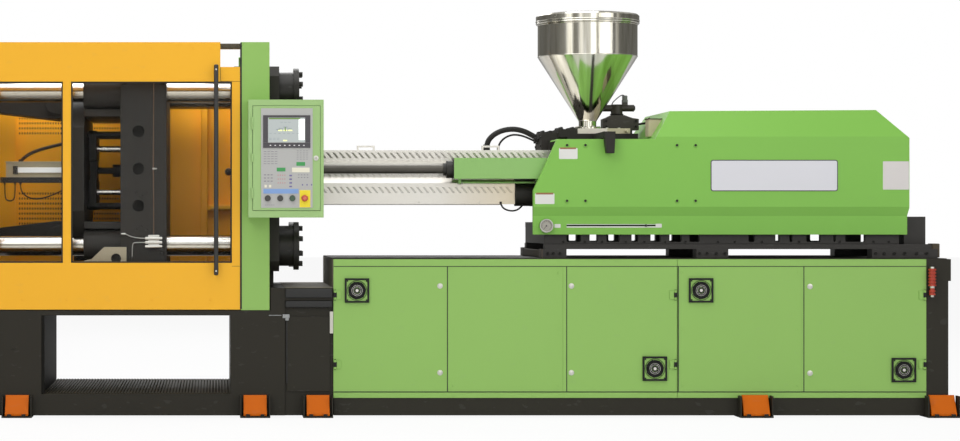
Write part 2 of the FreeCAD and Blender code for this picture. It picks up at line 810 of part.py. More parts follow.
def moving_platen():
    """Cast platen that carries the moving mould half: slab, ribbed box and link clevises."""
    platen = body("moving_platen")
    half = size.platen_half
    square = octagon((-half, half), (axis_height - half, axis_height + half), 60)
    add(platen, "YZ", [square], SLAB_BACK, size.moving_face)
    web = octagon((-540, 540), (axis_height - 545, axis_height + 545), 300)
    add(platen, "YZ", [web], size.moving_back, WEB_FACE)
    bosses = [((side, level), 95) for side, level in bar_places]
    for boss in bosses:
        add(platen, "YZ", [boss], -1605, SLAB_BACK + 1)
    for low, high in ((310, 350), (-350, -310)):
        floor = rectangle((-500, 500), (axis_height + low, axis_height + high))
        add(platen, "YZ", [floor], WEB_FACE - 1, SLAB_BACK + 1)
    for low, high in ((345, 530), (-530, -345)):
        for side in (-340, -30, 280):
            rib = rectangle((side, side + 60), (axis_height + low, axis_height + high))
            add(platen, "YZ", [rib], WEB_FACE - 1, SLAB_BACK + 1)
    for height, _ in pivots():
        lug = [
            (size.moving_back + 1, height - 105),
            (size.moving_back + 1, height + 105),
            (size.front_pivot, height + 60),
            (size.front_pivot, height - 60),
        ]
        for layer in both(REAR_PLATE) + both(OUTER_LUG):
            add(platen, "XZ", [lug], *layer)
            add(platen, "XZ", [((size.front_pivot, height), 60)], *layer)
        for span in both((REAR_PLATE[0], OUTER_LUG[1])):
            add(platen, "XZ", [((size.front_pivot, height), size.toggle_pin)], *span)
    for across, up in EJECTOR_GUIDES:
        add(platen, "YZ", [((across, axis_height + up), 18)], WEB_FACE - 1, SLAB_BACK + 1)
    add(platen, "YZ", [((0, axis_height), 38)], SLAB_BACK - 70, SLAB_BACK + 1)
    take(platen, "YZ", [((0, axis_height), 20.1)], SLAB_BACK - 71, SLAB_BACK + 60)
    for across, up in EJECTOR_PINS:
        take(platen, "YZ", [((across, axis_height + up), 15.1)], SLAB_BACK - 1, size.moving_face + 1)
    for side, level in bar_places:
        take(platen, "YZ", [((side, level), size.bar_radius + size.pin_play)],
             size.moving_back - 1, size.moving_face + 1)
    bolts = [
        ((side * across, axis_height + level * up), 12)
        for side in (-1, 1) for level in (-1, 1)
        for across, up in ((140, 280), (280, 140), (280, 280), (140, 420))
    ]
    take(platen, "YZ", bolts, size.moving_face - 45, size.moving_face + 1)
    for height in (-217, 0, 217):
        place = ((-1279, axis_height + height), 35)
        take(platen, "XZ", [place], -half - 1, -half + 60)
        take(platen, "XZ", [place], half - 60, half + 1)
    shoe = [
        (-1597, size.clamp_top + 0.5),
        (-1349, size.clamp_top + 0.5),
        (-1349, 985),
        (-1480, 985),
        (-1552, 915),
        (-1597, 905),
    ]
    for span in ((-620, -520), (520, 620)):
        add(platen, "XZ", [shoe], *span)
    for span in ((-621, -599), (599, 621)):
        take(platen, "XZ", [((-1410, 918), 29)], *span)
    finish("moving_platen", platen)


def ejector_plate():
    """Ejector plate on its four guides, with the push pins that pass through the slab."""
    plate = body("ejector_plate")
    face = (WEB_FACE + 11, WEB_FACE + 56)
    outline = octagon((-195, 195), (axis_height - 238, axis_height + 238), 20)
    add(plate, "YZ", [outline], *face)
    guides = [((across, axis_height + up), 18.1) for across, up in EJECTOR_GUIDES]
    take(plate, "YZ", guides, face[0] - 1, face[1] + 1)
    for side in (-1, 1):
        low, high = sorted((side * 80, side * 250))
        relief = rectangle((low, high), (axis_height - 60, axis_height + 60))
        take(plate, "YZ", [relief], face[0] - 1, face[1] + 1)
    for across, up in EJECTOR_PINS:
        add(plate, "YZ", [((across, axis_height + up), 15)], face[1] - 1, size.moving_face - 90)
    add(plate, "YZ", [((0, axis_height), 20)], face[1] - 1, SLAB_BACK - 30)
    finish("ejector_plate", plate)


def ejector_transducer():
    """Stroke sensor of the ejector: a bar in a folded channel bracketed to the rear web."""
    near = -348
    x = (-2078, -1690)
    channel = block(x, (near, near + 32), (1396, 1491))
    hollow = block((x[0] - 1, x[1] + 1), (near - 1, near + 28), (1400, 1487))
    bar = block((-2010, -1757), (near + 6, near + 29), (1422, 1458))
    cap = block((-2032, -2009), (near + 4, near + 29), (1418, 1462))
    guide = block((-2110, size.moving_back), (near, near + 30), (1366, 1397))
    arm = block((-1700, size.moving_back), (near + 26, near + 80), (1380, 1480))
    finish("ejector_transducer", join(cut(channel, hollow), bar, cap, guide, arm))


def lube_distributor():
    """Metering block that feeds grease to the platen's bushes, three fittings high."""
    face = -size.platen_half
    plate = block((-1222, -1158), (face - 14, face), (980, 1056))
    valves = [
        rod("x", (-1238, -1142), face - 22, (988 + 24 * level), 9)
        for level in range(3)
    ]
    finish("lube_distributor", join(plate, *valves))


# ---------------------------------------------------------------- gates

GATE_STEP = 2031
STEP_LEFT = -801
PANES = ((-2150, -1715), (-1668, -734))


def gate_blank(label, outward):
    """Folded sheet gate with its top corner stepped down beside the column."""
    gate = body(label)
    y = sorted((0, -outward * size.gate_depth.value))
    face = size.front_face * outward
    outline = [
        (size.gate_left, size.guard_low),
        (size.gate_right, size.guard_low),
        (size.gate_right, GATE_STEP),
        (STEP_LEFT, GATE_STEP),
        (STEP_LEFT, size.guard_top),
        (size.gate_left, size.guard_top),
    ]
    add(gate, "XZ", [outline], face + y[0], face + y[1])
    return gate


def front_gate():
    """Operator's sliding gate: pressed lower panel, top box, stiles and one mullion."""
    gate = gate_blank("front_gate", -1)
    face = -size.front_face
    windows = [rectangle(span, (size.pane_low, size.pane_top)) for span in PANES]
    take(gate, "XZ", windows, face - 1, face + size.gate_depth + 1)
    hollows = [
        rectangle((size.gate_left + 3, size.gate_right - 3), (size.guard_low + 3, size.pane_low - 30)),
        rectangle((size.gate_left + 3, STEP_LEFT - 3), (size.pane_top + 30, size.guard_top - 3)),
    ]
    take(gate, "XZ", hollows, face + 3, face + size.gate_depth + 1)
    finish("front_gate", gate)


def gate_panes():
    """Two clear safety panes set in the gate's windows."""
    face = -size.front_face
    panes = [
        block(span, (face + 14, face + 19), (size.pane_low, size.pane_top)) for span in PANES
    ]
    finish("gate_panes", group(*panes))


def gate_handle():
    """Long pull bar on stand-offs, bolted to the gate's top box and lower panel."""
    face = -size.front_face
    x = (-838, -813)
    bar = block(x, (face - 52, face - 34), (824, 2042))
    feet = [block((x[0] + 4, x[1] - 4), (face - 35, face), (height, height + 24)) for height in (836, 2002)]
    finish("gate_handle", join(bar, *feet))


def rear_gate():
    """Rear sliding gate: sheet panels between folded stiles, with a pull bar outside."""
    gate = gate_blank("rear_gate", 1)
    face = size.front_face
    inner = face - size.gate_depth
    fields = [
        rectangle((-2190, -1400), (670, 2120)),
        rectangle((-1360, -921), (670, 2120)),
        rectangle((-883, -730), (1242, 1990)),
        rectangle((-883, -730), (670, 1205)),
    ]
    take(gate, "XZ", fields, inner - 1, face - 3)
    add(gate, "XZ", [rectangle((-838, -813), (824, 2042))], face + 16, face + 32)
    for height in (836, 2002):
        add(gate, "XZ", [rectangle((-834, -817), (height, height + 24))], face - 4, face + 17)
    finish("rear_gate", gate)


# ---------------------------------------------------------------- injection unit

RAIL_LANE = (390, 470)
SIDE_LANE = (400, 440)
DECK = (1100, 1130)
HOUSING = (1180, 1600)
ROD_LANE = 380
INJECT_LANE = 330
RETRACTED = 1620


def guide_rails():
    """Two machined rails on blocks along the base, and the stop block between their ends."""
    rails = []
    for lane in both(RAIL_LANE):
        rail = block((1114, 3426), lane, (size.rail_low, size.rail_top))
        feet = [
            block(span, (lane[0] - 15, lane[1] + 15), (size.deck_top, size.rail_low + 1))
            for span in ((1090, 1239), (2004, 2192), (3039, 3426))
        ]
        rails.append(join(rail, *feet))
    stop = block((3262, 3390), (-360, 360), (size.deck_top, 1163))
    pocket = block((3290, 3370), (-340, 340), (size.deck_top + 60, 1164))
    rails.append(cut(stop, pocket))
    finish("guide_rails", group(*rails))


def carriage_frame():
    """Cast frame that slides on the rails: two windowed sides, a deck and an end plate."""
    frame = body("carriage_frame")
    length = (1115, 3210)
    for lane in both(SIDE_LANE):
        add(frame, "XZ", [rectangle(length, (size.rail_top + 0.5, DECK[1]))], *lane)
    add(frame, "XY", [rectangle((length[0], 3030), (-446, 446))], *DECK)
    end = rectangle((-SIDE_LANE[1], SIDE_LANE[1]), (size.rail_top + 3, DECK[0] + 1))
    add(frame, "YZ", [end], length[0], length[0] + 22)
    gaps = (
        (1246, 1329), (1382, 1429), (1482, 1559), (1630, 1669), (1742, 1801), (1854, 1925),
        (1972, 2031), (2321, 2356), (2480, 2504), (2563, 2581), (2663, 2746), (2823, 2836),
        (2893, 3011),
    )
    windows = [octagon(gap, (1014, 1094), 5) for gap in gaps]
    take(frame, "XZ", windows, -SIDE_LANE[1] - 1, SIDE_LANE[1] + 1)
    finish("carriage_frame", frame)


def carriage_rods():
    """Two black tie rods that draw the injection carriage up to the fixed platen."""
    rods = []
    for side in (-ROD_LANE, ROD_LANE):
        bar = rod("x", (size.fixed_back + 1, 940), side, axis_height, 25)
        foot = rod("x", (size.fixed_back, size.fixed_back + 40), side, axis_height, 48)
        rods.append(join(bar, foot))
    finish("carriage_rods", group(*rods))


def carriage_cylinders():
    """Cylinders that the tie rods run in, each under a folded green cover with a gland nut."""
    cylinders = []
    for side in (-1, 1):
        lane = sorted((side * 315, side * 450))
        cover = block((578, HOUSING[0]), lane, (1387, 1510))
        gland = rod("x", (540, 580), side * ROD_LANE, axis_height, 52)
        nut = rod("x", (522, 542), side * ROD_LANE, axis_height, 38)
        bore = rod("x", (520, 1160), side * ROD_LANE, axis_height, 25.06)
        pipe = rod("x", (615, 1090), side * 365, 1366, 6)
        ends = [block((x, x + 16), sorted((side * 350, side * 380)), (1358, 1388)) for x in (612, 1074)]
        cylinders.append(join(cut(join(cover, gland, nut), bore), pipe, *ends))
    finish("carriage_cylinders", group(*cylinders))


def injection_housing():
    """Front casting of the unit: barrel seat, feed throat, cylinders and hopper plate."""
    housing = body("injection_housing")
    core = rectangle((-170, 170), (DECK[1], 1625))
    add(housing, "YZ", [core], *HOUSING)
    throat = rectangle((1290, 1720), (-150, 150))
    add(housing, "XY", [throat], 1624, 1664)
    flange = rectangle((-455, 455), (axis_height - 95, axis_height + 95))
    add(housing, "YZ", [flange], HOUSING[0], HOUSING[0] + 50)
    drums = [((side * INJECT_LANE, axis_height), 88) for side in (-1, 1)]
    for drum in drums:
        add(housing, "YZ", [drum], HOUSING[0], RETRACTED - 10)
    add(housing, "YZ", [rectangle((-140, 140), (1563, 1670))], 1138, HOUSING[0] + 60)
    add(housing, "YZ", [rectangle((-150, 150), (1640, 1692))], 1239, 1352)
    drive = rectangle((-330, -150), (1226, 1366))
    add(housing, "YZ", [drive], 1062, HOUSING[0] + 1)
    add(housing, "YZ", [((-300, 1296), 70)], 956, 1063)
    add(housing, "XZ", [rectangle((1448, 1512), (1626, 1662))], -530, -149)
    chute = [(1446, 1662), (1514, 1662), (1507, 1535), (1462, 1535)]
    add(housing, "XZ", [chute], -572, -512)
    take(housing, "XZ", [[(1456, 1650), (1504, 1650), (1499, 1534), (1470, 1534)]], -564, -520)
    shelf = rectangle((1560, 1752), (149, 262))
    add(housing, "XY", [shelf], 1626, 1660)
    for x in (1580, 1700):
        add(housing, "XY", [rectangle((x, x + 40), (175, 250))], 1659, 1697)
    take(housing, "YZ", [((0, axis_height), 100.05)], HOUSING[0] - 1, HOUSING[1] + 1)
    bores = [((side * INJECT_LANE, axis_height), 35.06) for side in (-1, 1)]
    for bore in bores:
        take(housing, "YZ", [bore], HOUSING[0] + 12, RETRACTED)
    take(housing, "XY", [((size.hopper_axis, 0), 53)], axis_height + 60, 1665)
    finish("injection_housing", housing)


def barrel():
    """Heated steel barrel with its nozzle, shrunk into the housing, and its heater bands."""
    tip = size.fixed_face + 15
    steel = body("barrel")
    outline = [
        (tip, 0), (tip, 18), (tip + 25, 30), (tip + 90, 30), (tip + 100, 46), (tip + 160, 46),
        (tip + 190, 88), (tip + 330, 88), (tip + 345, 100), (HOUSING[1], 100), (HOUSING[1], 0),
    ]
    turn(steel, outline, (0, axis_height), "H")
    for step in range(5):
        start = -300 + step * 285
        add(steel, "YZ", [((0, axis_height), 113)], start, start + 150)
    take(steel, "YZ", [((0, axis_height), 40.05)], tip + 210, HOUSING[1] + 1)
    take(steel, "YZ", [((0, axis_height), 6)], tip - 1, tip + 211)
    take(steel, "XY", [((size.hopper_axis, 0), 40)], axis_height, axis_height + 101)
    finish("barrel", steel)


GUARD_OUTLINE = (
    (253, 1561), (253, 1500), (300, 1481), (300, 1398), (342, 1362), (342, 1237),
)


def mirrored(near):
    """Closes an outline with its mirror image beyond the axis."""
    return near + [(-across, height) for across, height in reversed(near)]


def barrel_guard():
    """Stainless heat guard over the barrel, folded in steps, with three rows of louvres."""
    guard = body("barrel_guard")
    wall = 3
    start, step, end = size.fixed_back + 36, 952, HOUSING[0]
    outer = [(-out, height) for out, height in GUARD_OUTLINE]
    add(guard, "YZ", [mirrored(outer)], start, step)
    add(guard, "YZ", [mirrored(outer[:4])], step - 1, end)
    inner = [(wall - out, height) for out, height in GUARD_OUTLINE[1:4]]
    crown = (inner[0][0], GUARD_OUTLINE[0][1] - wall)
    skirt = [(wall - out, height) for out, height in GUARD_OUTLINE[4:]]
    low = (skirt[-1][0], skirt[-1][1] - wall)
    take(guard, "YZ", [mirrored([crown, *inner, skirt[0], low])], start - 1, step + 1)
    take(guard, "YZ", [mirrored([crown, *inner[:2], (inner[2][0], inner[2][1] - wall)])], step, end + 1)
    pitch = 38
    for out, bottom, top, lean, count in (
        (253, 1514, 1545, 27, 41), (300, 1405, 1423, 16, 35), (342, 1306, 1338, 27, 35),
    ):
        slot = [(lean - 395, bottom), (lean - 387, bottom), (-387, top), (-395, top)]
        louvre = take(guard, "XZ", [slot], -out - 1, out + 1)
        repeat(guard, louvre, "X", pitch, count)
    for x in (28, 784):
        handle = [
            (x, 1560), (x + 11, 1560), (x + 11, 1583), (x + 97, 1583), (x + 97, 1560),
            (x + 108, 1560), (x + 108, 1594), (x, 1594),
        ]
        add(guard, "XZ", [handle], -72, -60)
    finish("barrel_guard", guard)


COVER_OUTLINE = (
    (1041, size.cover_low), (1041, 1315), (1182, 1619), (1759, 1620), (1862, 1788), (3084, 1795),
    (3254, 1625), (3254, 1212), (3246, 1171), (3246, size.cover_low),
)


def injection_cover():
    """Folded and welded green cover over the injection unit, open below and at the barrel."""
    cover = body("injection_cover")
    half = size.cover_half
    add(cover, "XZ", [list(COVER_OUTLINE)], -half, half)
    for side in (-1, 1):
        roof = [(side * 503.5, 1632), (side * 398, 1800), (side * 510, 1800)]
        take(cover, "YZ", [roof], 1700, 3300)
        skirt = [
            (side * 484, 1050), (side * 484, 1167), (side * 503.5, 1222), (side * 520, 1222),
            (side * 520, 1050),
        ]
        take(cover, "YZ", [skirt], 1000, 3300)
    upper = [(1764, 1600), (1866, 1784), (3082, 1791), (3250, 1623), (3250, 1600)]
    take(cover, "XZ", [upper], -392, 392)
    middle = [(1045, 1223), (1045, 1314), (1184, 1615), (1764, 1616), (3250, 1616), (3250, 1223)]
    take(cover, "XZ", [middle], -499, 499)
    skirt = [(1045, 1056), (1045, 1224), (3250, 1224), (3250, 1212), (3242, 1170), (3242, 1056)]
    take(cover, "XZ", [skirt], -480, 480)
    mouth = rectangle((-460, 460), (1050, 1610))
    take(cover, "YZ", [mouth], 1030, 1230)
    take(cover, "XZ", [rectangle((1030, 1205), (1050, 1625))], 440, half + 1)
    tail = rectangle((-470, 470), (1050, 1168))
    take(cover, "YZ", [tail], 3200, 3300)
    take(cover, "XY", [rectangle((1100, 1735), (-225, 225))], 1600, 1640)
    take(cover, "XZ", [rectangle((1239, 1800), (1106, 1115))], -half, -470)
    add(cover, "XZ", [((1118, 1109), 39)], -half - 6, -481)
    take(cover, "XZ", [((1118, 1109), 34)], -half - 7, -half + 2)
    finish("injection_cover", cover)


def thrust_unit():
    """Thrust block on the piston rods, with the screw's motor and the stroke pointer."""
    face = RETRACTED + 430
    unit = body("thrust_unit")
    plate = octagon((-430, 430), (axis_height - 130, axis_height + 130), 40)
    add(unit, "YZ", [plate], face, face + 130)
    shoes = rectangle((-390, 390), (DECK[1] + 0.5, axis_height - 129))
    add(unit, "YZ", [shoes], face, face + 60)
    for side in (-1, 1):
        add(unit, "YZ", [((side * INJECT_LANE, axis_height), 35)], RETRACTED - 82, face + 1)
    add(unit, "YZ", [((0, axis_height), 130)], face + 129, face + 390)
    add(unit, "YZ", [((0, axis_height), 95)], face + 389, face + 470)
    take(unit, "YZ", [((0, axis_height), 40.06)], face - 1, face + 90)
    arm = rectangle((1700, 1712), (1108, 1113))
    add(unit, "XZ", [arm], -492, -452)
    add(unit, "XY", [rectangle((1700, face + 20), (-466, -452))], 1108, 1140)
    add(unit, "YZ", [rectangle((-466, -380), (DECK[1] + 2, 1320))], face, face + 20)
    finish("thrust_unit", unit)


def screw():
    """Plasticising screw: a round shank with a pointed tip and deep turned flights."""
    tip = size.fixed_face + 15 + 210 + 346
    shaft = body("screw")
    outline = [(tip, 0), (tip + 70, 30), (tip + 110, 30)]
    step = tip + 110
    for _ in range(12):
        outline += [(step + 12, 39.95), (step + 26, 39.95), (step + 38, 29), (step + 76, 29)]
        step = step + 80
    end = RETRACTED + 430 + 85
    outline += [(step + 12, 39.95), (end, 39.95), (end, 0)]
    turn(shaft, outline, (0, axis_height), "H")
    finish("screw", shaft)


# ---------------------------------------------------------------- hopper

PLATE_TOP = 1696


def hopper_base():
    """Slide plate that carries the hopper from the feed throat to the drain chute."""
    plate = block((1357, 1674), (-135, 135), (1664.5, PLATE_TOP))
    grip = rod("y", 1650, (-190, -134), 1680, 9)
    hole = rod("z", size.hopper_axis, 0, (1664, PLATE_TOP + 1), 50)
    finish("hopper_base", cut(join(plate, grip), hole))


LID_PIN = (322, 2346)


def hopper():
    """Spun stainless hopper: flanged neck, cone, cylinder, rolled rim and two hinge knuckles."""
    wall = size.hopper_wall
    outside = [
        (85, PLATE_TOP), (85, PLATE_TOP + 10), (53, PLATE_TOP + 12), (53, 1743),
        (size.hopper_radius, 2134), (size.hopper_radius, 2330), (size.hopper_radius + 8, 2332),
        (size.hopper_radius + 8, 2344),
    ]
    inside = [
        (size.hopper_radius - wall, 2344), (size.hopper_radius - wall, 2136), (50, 1745),
        (50, PLATE_TOP),
    ]
    shell = body("hopper")
    turn(shell, outside + inside, (size.hopper_axis, 0), "V")
    for span in ((1400, 1421), (1453, 1474)):
        leaf = rectangle((300, LID_PIN[0]), (2322, 2345))
        add(shell, "YZ", [leaf], *span)
        add(shell, "YZ", [(LID_PIN, 8)], *span)
    add(shell, "YZ", [(LID_PIN, 4)], 1400, 1474)
    finish("hopper", shell)


def hopper_lid():
    """Pressed pan lid with a rolled edge and a slight crown, hinged at the back of the rim."""
    lid = body("hopper_lid")
    radius = size.hopper_radius
    outline = [
        (0, 2398), (0, 2401), (radius - 61, 2398), (radius + 1, 2390), (radius + 11, 2380),
        (radius + 11, 2345.5), (radius + 7, 2345.5), (radius + 7, 2379), (radius - 1, 2386.5),
        (radius - 61, 2395),
    ]
    turn(lid, outline, (size.hopper_axis, 0), "V")
    add(lid, "YZ", [rectangle((radius + 8, LID_PIN[0]), (2348, 2354))], 1422, 1452)
    add(lid, "YZ", [(LID_PIN, 8)], 1422, 1452)
    take(lid, "YZ", [(LID_PIN, 4.06)], 1421, 1453)
    finish("hopper_lid", lid)


def valve_block():
    """Air valve behind the hopper's neck: a bolted body, a stem, a solenoid and its plug."""
    valve = body("valve_block")
    outline = [
        (1558, 1697), (1780, 1697), (1780, 1766), (1740, 1772), (1690, 1790), (1612, 1790),
        (1575, 1772), (1558, 1766),
    ]
    add(valve, "XZ", [outline], 170, 256)
    add(valve, "XY", [((1650, 212), 36)], 1789, 1856)
    add(valve, "YZ", [((212, 1834), 21)], 1566, 1756)
    add(valve, "XY", [rectangle((1684, 1716), (196, 228))], 1850, 1876)
    add(valve, "XY", [((1700, 212), 15)], 1875, 1910)
    finish("valve_block", valve)


# ---------------------------------------------------------------- control box

BOX_FRONT = -848
PANEL_FRONT = -855
DOOR = ((-615, -229), (1198.5, 1798))


def control_box():
    """Folded steel control box hung on the column guard."""
    box = body("control_box")
    add(box, "XZ", [rectangle((-641, -208), (1157, 1834))], BOX_FRONT, -size.front_face)
    take(box, "XZ", [rectangle((-637, -212), (1161, 1830))], BOX_FRONT + 16, -size.front_face - 3)
    opening = ((DOOR[0][0] - 2, DOOR[0][1] + 2), (DOOR[1][0] - 2, DOOR[1][1] + 2))
    take(box, "XZ", [rectangle(*opening)], BOX_FRONT - 1, BOX_FRONT + 17)
    finish("control_box", box)


BUTTON_PLACES = (("button_start", -529.6), ("button_stop", -457.9), ("button_reset", -387.9))
STOP_PLACE = -317.9
BUTTON_HEIGHT = 1267.4
STEM = 10


def control_door():
    """Inset steel door of the control box, on two pin hinges at its left."""
    door = body("control_door")
    add(door, "XZ", [rectangle(*DOOR)], BOX_FRONT - 4, BOX_FRONT + 8)
    for height in (1300, 1690):
        add(door, "XY", [((DOOR[0][0] - 3, BOX_FRONT - 6), 5.5)], height - 28, height + 28)
    holes = [((x, BUTTON_HEIGHT), STEM + 0.08) for x in [x for _, x in BUTTON_PLACES] + [STOP_PLACE]]
    for hole in holes:
        take(door, "XZ", [hole], BOX_FRONT - 5, BOX_FRONT + 9)
    finish("control_door", door)


def control_panel():
    """Membrane keyboard plate on the door, with the raised bezel of the screen."""
    panel = body("control_panel")
    add(panel, "XZ", [rectangle((-568, -272), (1213, 1784))], PANEL_FRONT, BOX_FRONT - 4)
    add(panel, "XZ", [rectangle((-556.5, -285), (1555.5, 1744))], PANEL_FRONT - 4, PANEL_FRONT + 1)
    take(panel, "XZ", [rectangle((-528, -315), (1588, 1731))], PANEL_FRONT - 5, PANEL_FRONT - 1)
    for _, x in BUTTON_PLACES:
        take(panel, "XZ", [((x, BUTTON_HEIGHT), STEM + 0.5)], PANEL_FRONT - 1, BOX_FRONT)
    take(panel, "XZ", [((STOP_PLACE, BUTTON_HEIGHT), STEM + 0.5)], PANEL_FRONT - 1, BOX_FRONT)
    finish("control_panel", panel)


def push_buttons():
    """Three flush push buttons and the mushroom-headed stop, each on its own stem."""
    for label, x in BUTTON_PLACES:
        cap = rod("y", x, (PANEL_FRONT - 15, PANEL_FRONT - 5), BUTTON_HEIGHT, 15)
        stem = rod("y", x, (PANEL_FRONT - 6, BOX_FRONT + 20), BUTTON_HEIGHT, STEM)
        finish(label, join(cap, stem))
    rim = rod("y", STOP_PLACE, (PANEL_FRONT - 20, PANEL_FRONT - 12), BUTTON_HEIGHT, 19)
    dome = rod("y", STOP_PLACE, (PANEL_FRONT - 30, PANEL_FRONT - 20), BUTTON_HEIGHT, 14, 19)
    neck = rod("y", STOP_PLACE, (PANEL_FRONT - 13, BOX_FRONT + 20), BUTTON_HEIGHT, STEM)
    finish("emergency_stop", join(rim, dome, neck))


# ---------------------------------------------------------------- hoses and cables


def hose(name, route, radius):
    """A tube along straight runs and tangent arcs; prints its arcs and its volume's ratio."""
    places = [FreeCAD.Vector(*place) for place in route]
    edges = []
    start = places[0]
    radii = []
    for before, corner, after in zip(places, places[1:], places[2:]):
        back, ahead = before - corner, after - corner
        turn_half = (math.pi - back.getAngle(ahead)) / 2
        shorter = min(back.Length, ahead.Length)
        arc_radius = 0.45 * shorter / math.tan(turn_half)
        radii.append(round(arc_radius))
        back.normalize()
        ahead.normalize()
        reach = 0.45 * shorter
        into, out = corner + back * reach, corner + ahead * reach
        middle_way = (back + ahead).normalize()
        middle = corner + middle_way * (arc_radius / math.cos(turn_half) - arc_radius)
        edges.append(Part.LineSegment(start, into).toShape())
        edges.append(Part.Arc(into, middle, out).toShape())
        start = out
    edges.append(Part.LineSegment(start, places[-1]).toShape())
    length = sum(edge.Length for edge in edges)
    spine = Part.Wire(edges)
    circle = Part.Circle(places[0], places[1] - places[0], radius)
    tube = spine.makePipeShell([Part.Wire([circle.toShape()])], True, False)
    ratio = tube.Volume / (math.pi * radius ** 2 * length)
    print(name, "length", round(length), "arcs", radii, "volume ratio", round(ratio, 3))
    feature = doc.addObject("Part::Feature", name)
    feature.Shape = tube
    return feature


FEED_HOSE = (
    (822, 0, 1561), (822, 0, 1612), (856, -10, 1658), (912, -18, 1688), (980, -20, 1698),
    (1044, -17, 1686), (1096, -10, 1660), (1138, -8, 1636),
)
THIN_HOSE = (
    (898, 40, 1561), (898, 40, 1592), (914, 38, 1624), (944, 34, 1650), (984, 30, 1664),
    (1022, 30, 1662), (1060, 34, 1652), (1100, 38, 1634), (1138, 40, 1618),
)
DRAIN_HOSE = (
    (868, -341, 1246), (872, -352, 1220), (904, -358, 1200), (946, -354, 1196), (980, -342, 1210),
    (1000, -330, 1232),
)


def unit_hoses():
    """Cooling hoses of the feed throat and the small drain loop below the drive."""
    finish("unit_hoses", group(
        hose("feed_hose", FEED_HOSE, 16.5),
        hose("thin_hose", THIN_HOSE, 6),
        hose("drain_hose", DRAIN_HOSE, 5),
    ))


CABLE_LOOP = (
    (-1990, -333, 1366), (-1990, -333, 1330), (-1974, -335, 1298), (-1938, -337, 1274),
    (-1890, -338, 1266), (-1830, -337, 1280), (-1770, -335, 1304), (-1722, -333, 1330),
    (-1716, -333, 1366),
)
CABLE_DROP = (
    (-2084, -333, 1366), (-2084, -334, 1276), (-2066, -335, 1257), (-2040, -335, 1257),
    (-2022, -334, 1276), (-2022, -333, 1366),
)
CONDUIT = (
    (-1990, -333, 1491), (-1965, -334, 1519), (-1920, -335, 1545), (-1860, -336, 1566),
    (-1790, -334, 1584), (-1720, -325, 1600), (-1677, -312, 1606),
)


def sensor_cables():
    """Cables of the stroke sensor, clipped between its channel and the rear web."""
    finish("sensor_cables", group(
        hose("cable_loop", CABLE_LOOP, 4),
        hose("cable_drop", CABLE_DROP, 4),
        hose("conduit", CONDUIT, 10),
    ))


# ---------------------------------------------------------------- the machine

for build in (
    clamp_base, tread_plate, link_housing, machine_feet, foot_pockets,
    injection_bed, cabinet_frames, cabinet_doors, base_contents, water_couplings,
    fixed_platen, tie_bars, tie_bar_nuts, column_guards, gate_tracks, tail_guard,
    tail_platen, adjusting_nuts, clamp_cylinder, toggle_links, crosshead,
    moving_platen, ejector_plate, ejector_transducer, lube_distributor,
    front_gate, gate_panes, gate_handle, rear_gate,
    guide_rails, carriage_frame, carriage_rods, carriage_cylinders, injection_housing,
    barrel, barrel_guard, injection_cover, thrust_unit, screw,
    hopper_base, hopper, hopper_lid, valve_block,
    control_box, control_door, control_panel, push_buttons,
    unit_hoses, sensor_cables,
):
    build()

doc.recompute()

for item in doc.Objects:
    if "Invalid" in item.State or "Error" in item.State:
        raise RuntimeError(f"{item.Label} failed: {item.State}")
    if item.TypeId in ("PartDesign::Pocket", "PartDesign::Groove"):
        if item.BaseFeature.Shape.Volume - item.Shape.Volume < 1:
            raise RuntimeError(f"{item.Label} cuts nothing")

os.makedirs("parts", exist_ok=True)
for label, part in parts.items():
    if part.Shape.isNull() or not part.Shape.isValid():
        raise RuntimeError(f"{label} has no valid shape")
    part.Shape.exportStep(f"parts/{label}.step")
print(len(parts), "parts written")
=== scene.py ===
import bpy
import bmesh
from itertools import product
from math import cos, pi, radians, sin, tau
from mathutils import Matrix, Vector


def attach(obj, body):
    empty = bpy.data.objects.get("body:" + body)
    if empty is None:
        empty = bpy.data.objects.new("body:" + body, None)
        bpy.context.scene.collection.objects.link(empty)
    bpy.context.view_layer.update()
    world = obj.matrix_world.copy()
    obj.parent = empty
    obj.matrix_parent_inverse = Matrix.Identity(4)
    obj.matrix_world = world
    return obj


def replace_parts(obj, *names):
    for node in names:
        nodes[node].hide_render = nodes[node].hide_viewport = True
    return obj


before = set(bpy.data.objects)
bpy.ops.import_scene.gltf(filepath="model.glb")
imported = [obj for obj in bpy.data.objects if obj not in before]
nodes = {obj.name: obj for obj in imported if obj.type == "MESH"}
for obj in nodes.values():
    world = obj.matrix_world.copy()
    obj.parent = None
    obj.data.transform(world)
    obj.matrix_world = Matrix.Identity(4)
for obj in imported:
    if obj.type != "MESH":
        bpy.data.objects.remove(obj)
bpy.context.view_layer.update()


# ---- The studio: a white floor and world and large soft lamps, with a long lens square to the
# ---- operator's side. The camera stands 14 m off and looks level at hip height.


AXIS_SIDE = 75  # how far the machine's axis lies behind the frame's origin, in millimetres
AXIS_HEIGHT = 1443


def at(x, y, z):
    """A place in metres from millimetres off the machine's axis, floor and middle."""
    return Vector((x, y + AXIS_SIDE, z)) / 1000


def placed(name, data):
    """An object of some data, linked into the scene."""
    made = bpy.data.objects.new(name, data)
    bpy.context.scene.collection.objects.link(made)
    return made


def operator(operation, swapped=False):
    """A Python operator that adds a Math node."""
    if swapped:
        return lambda wire, other: wire.step(operation, other, wire)
    return lambda wire, other: wire.step(operation, wire, other)


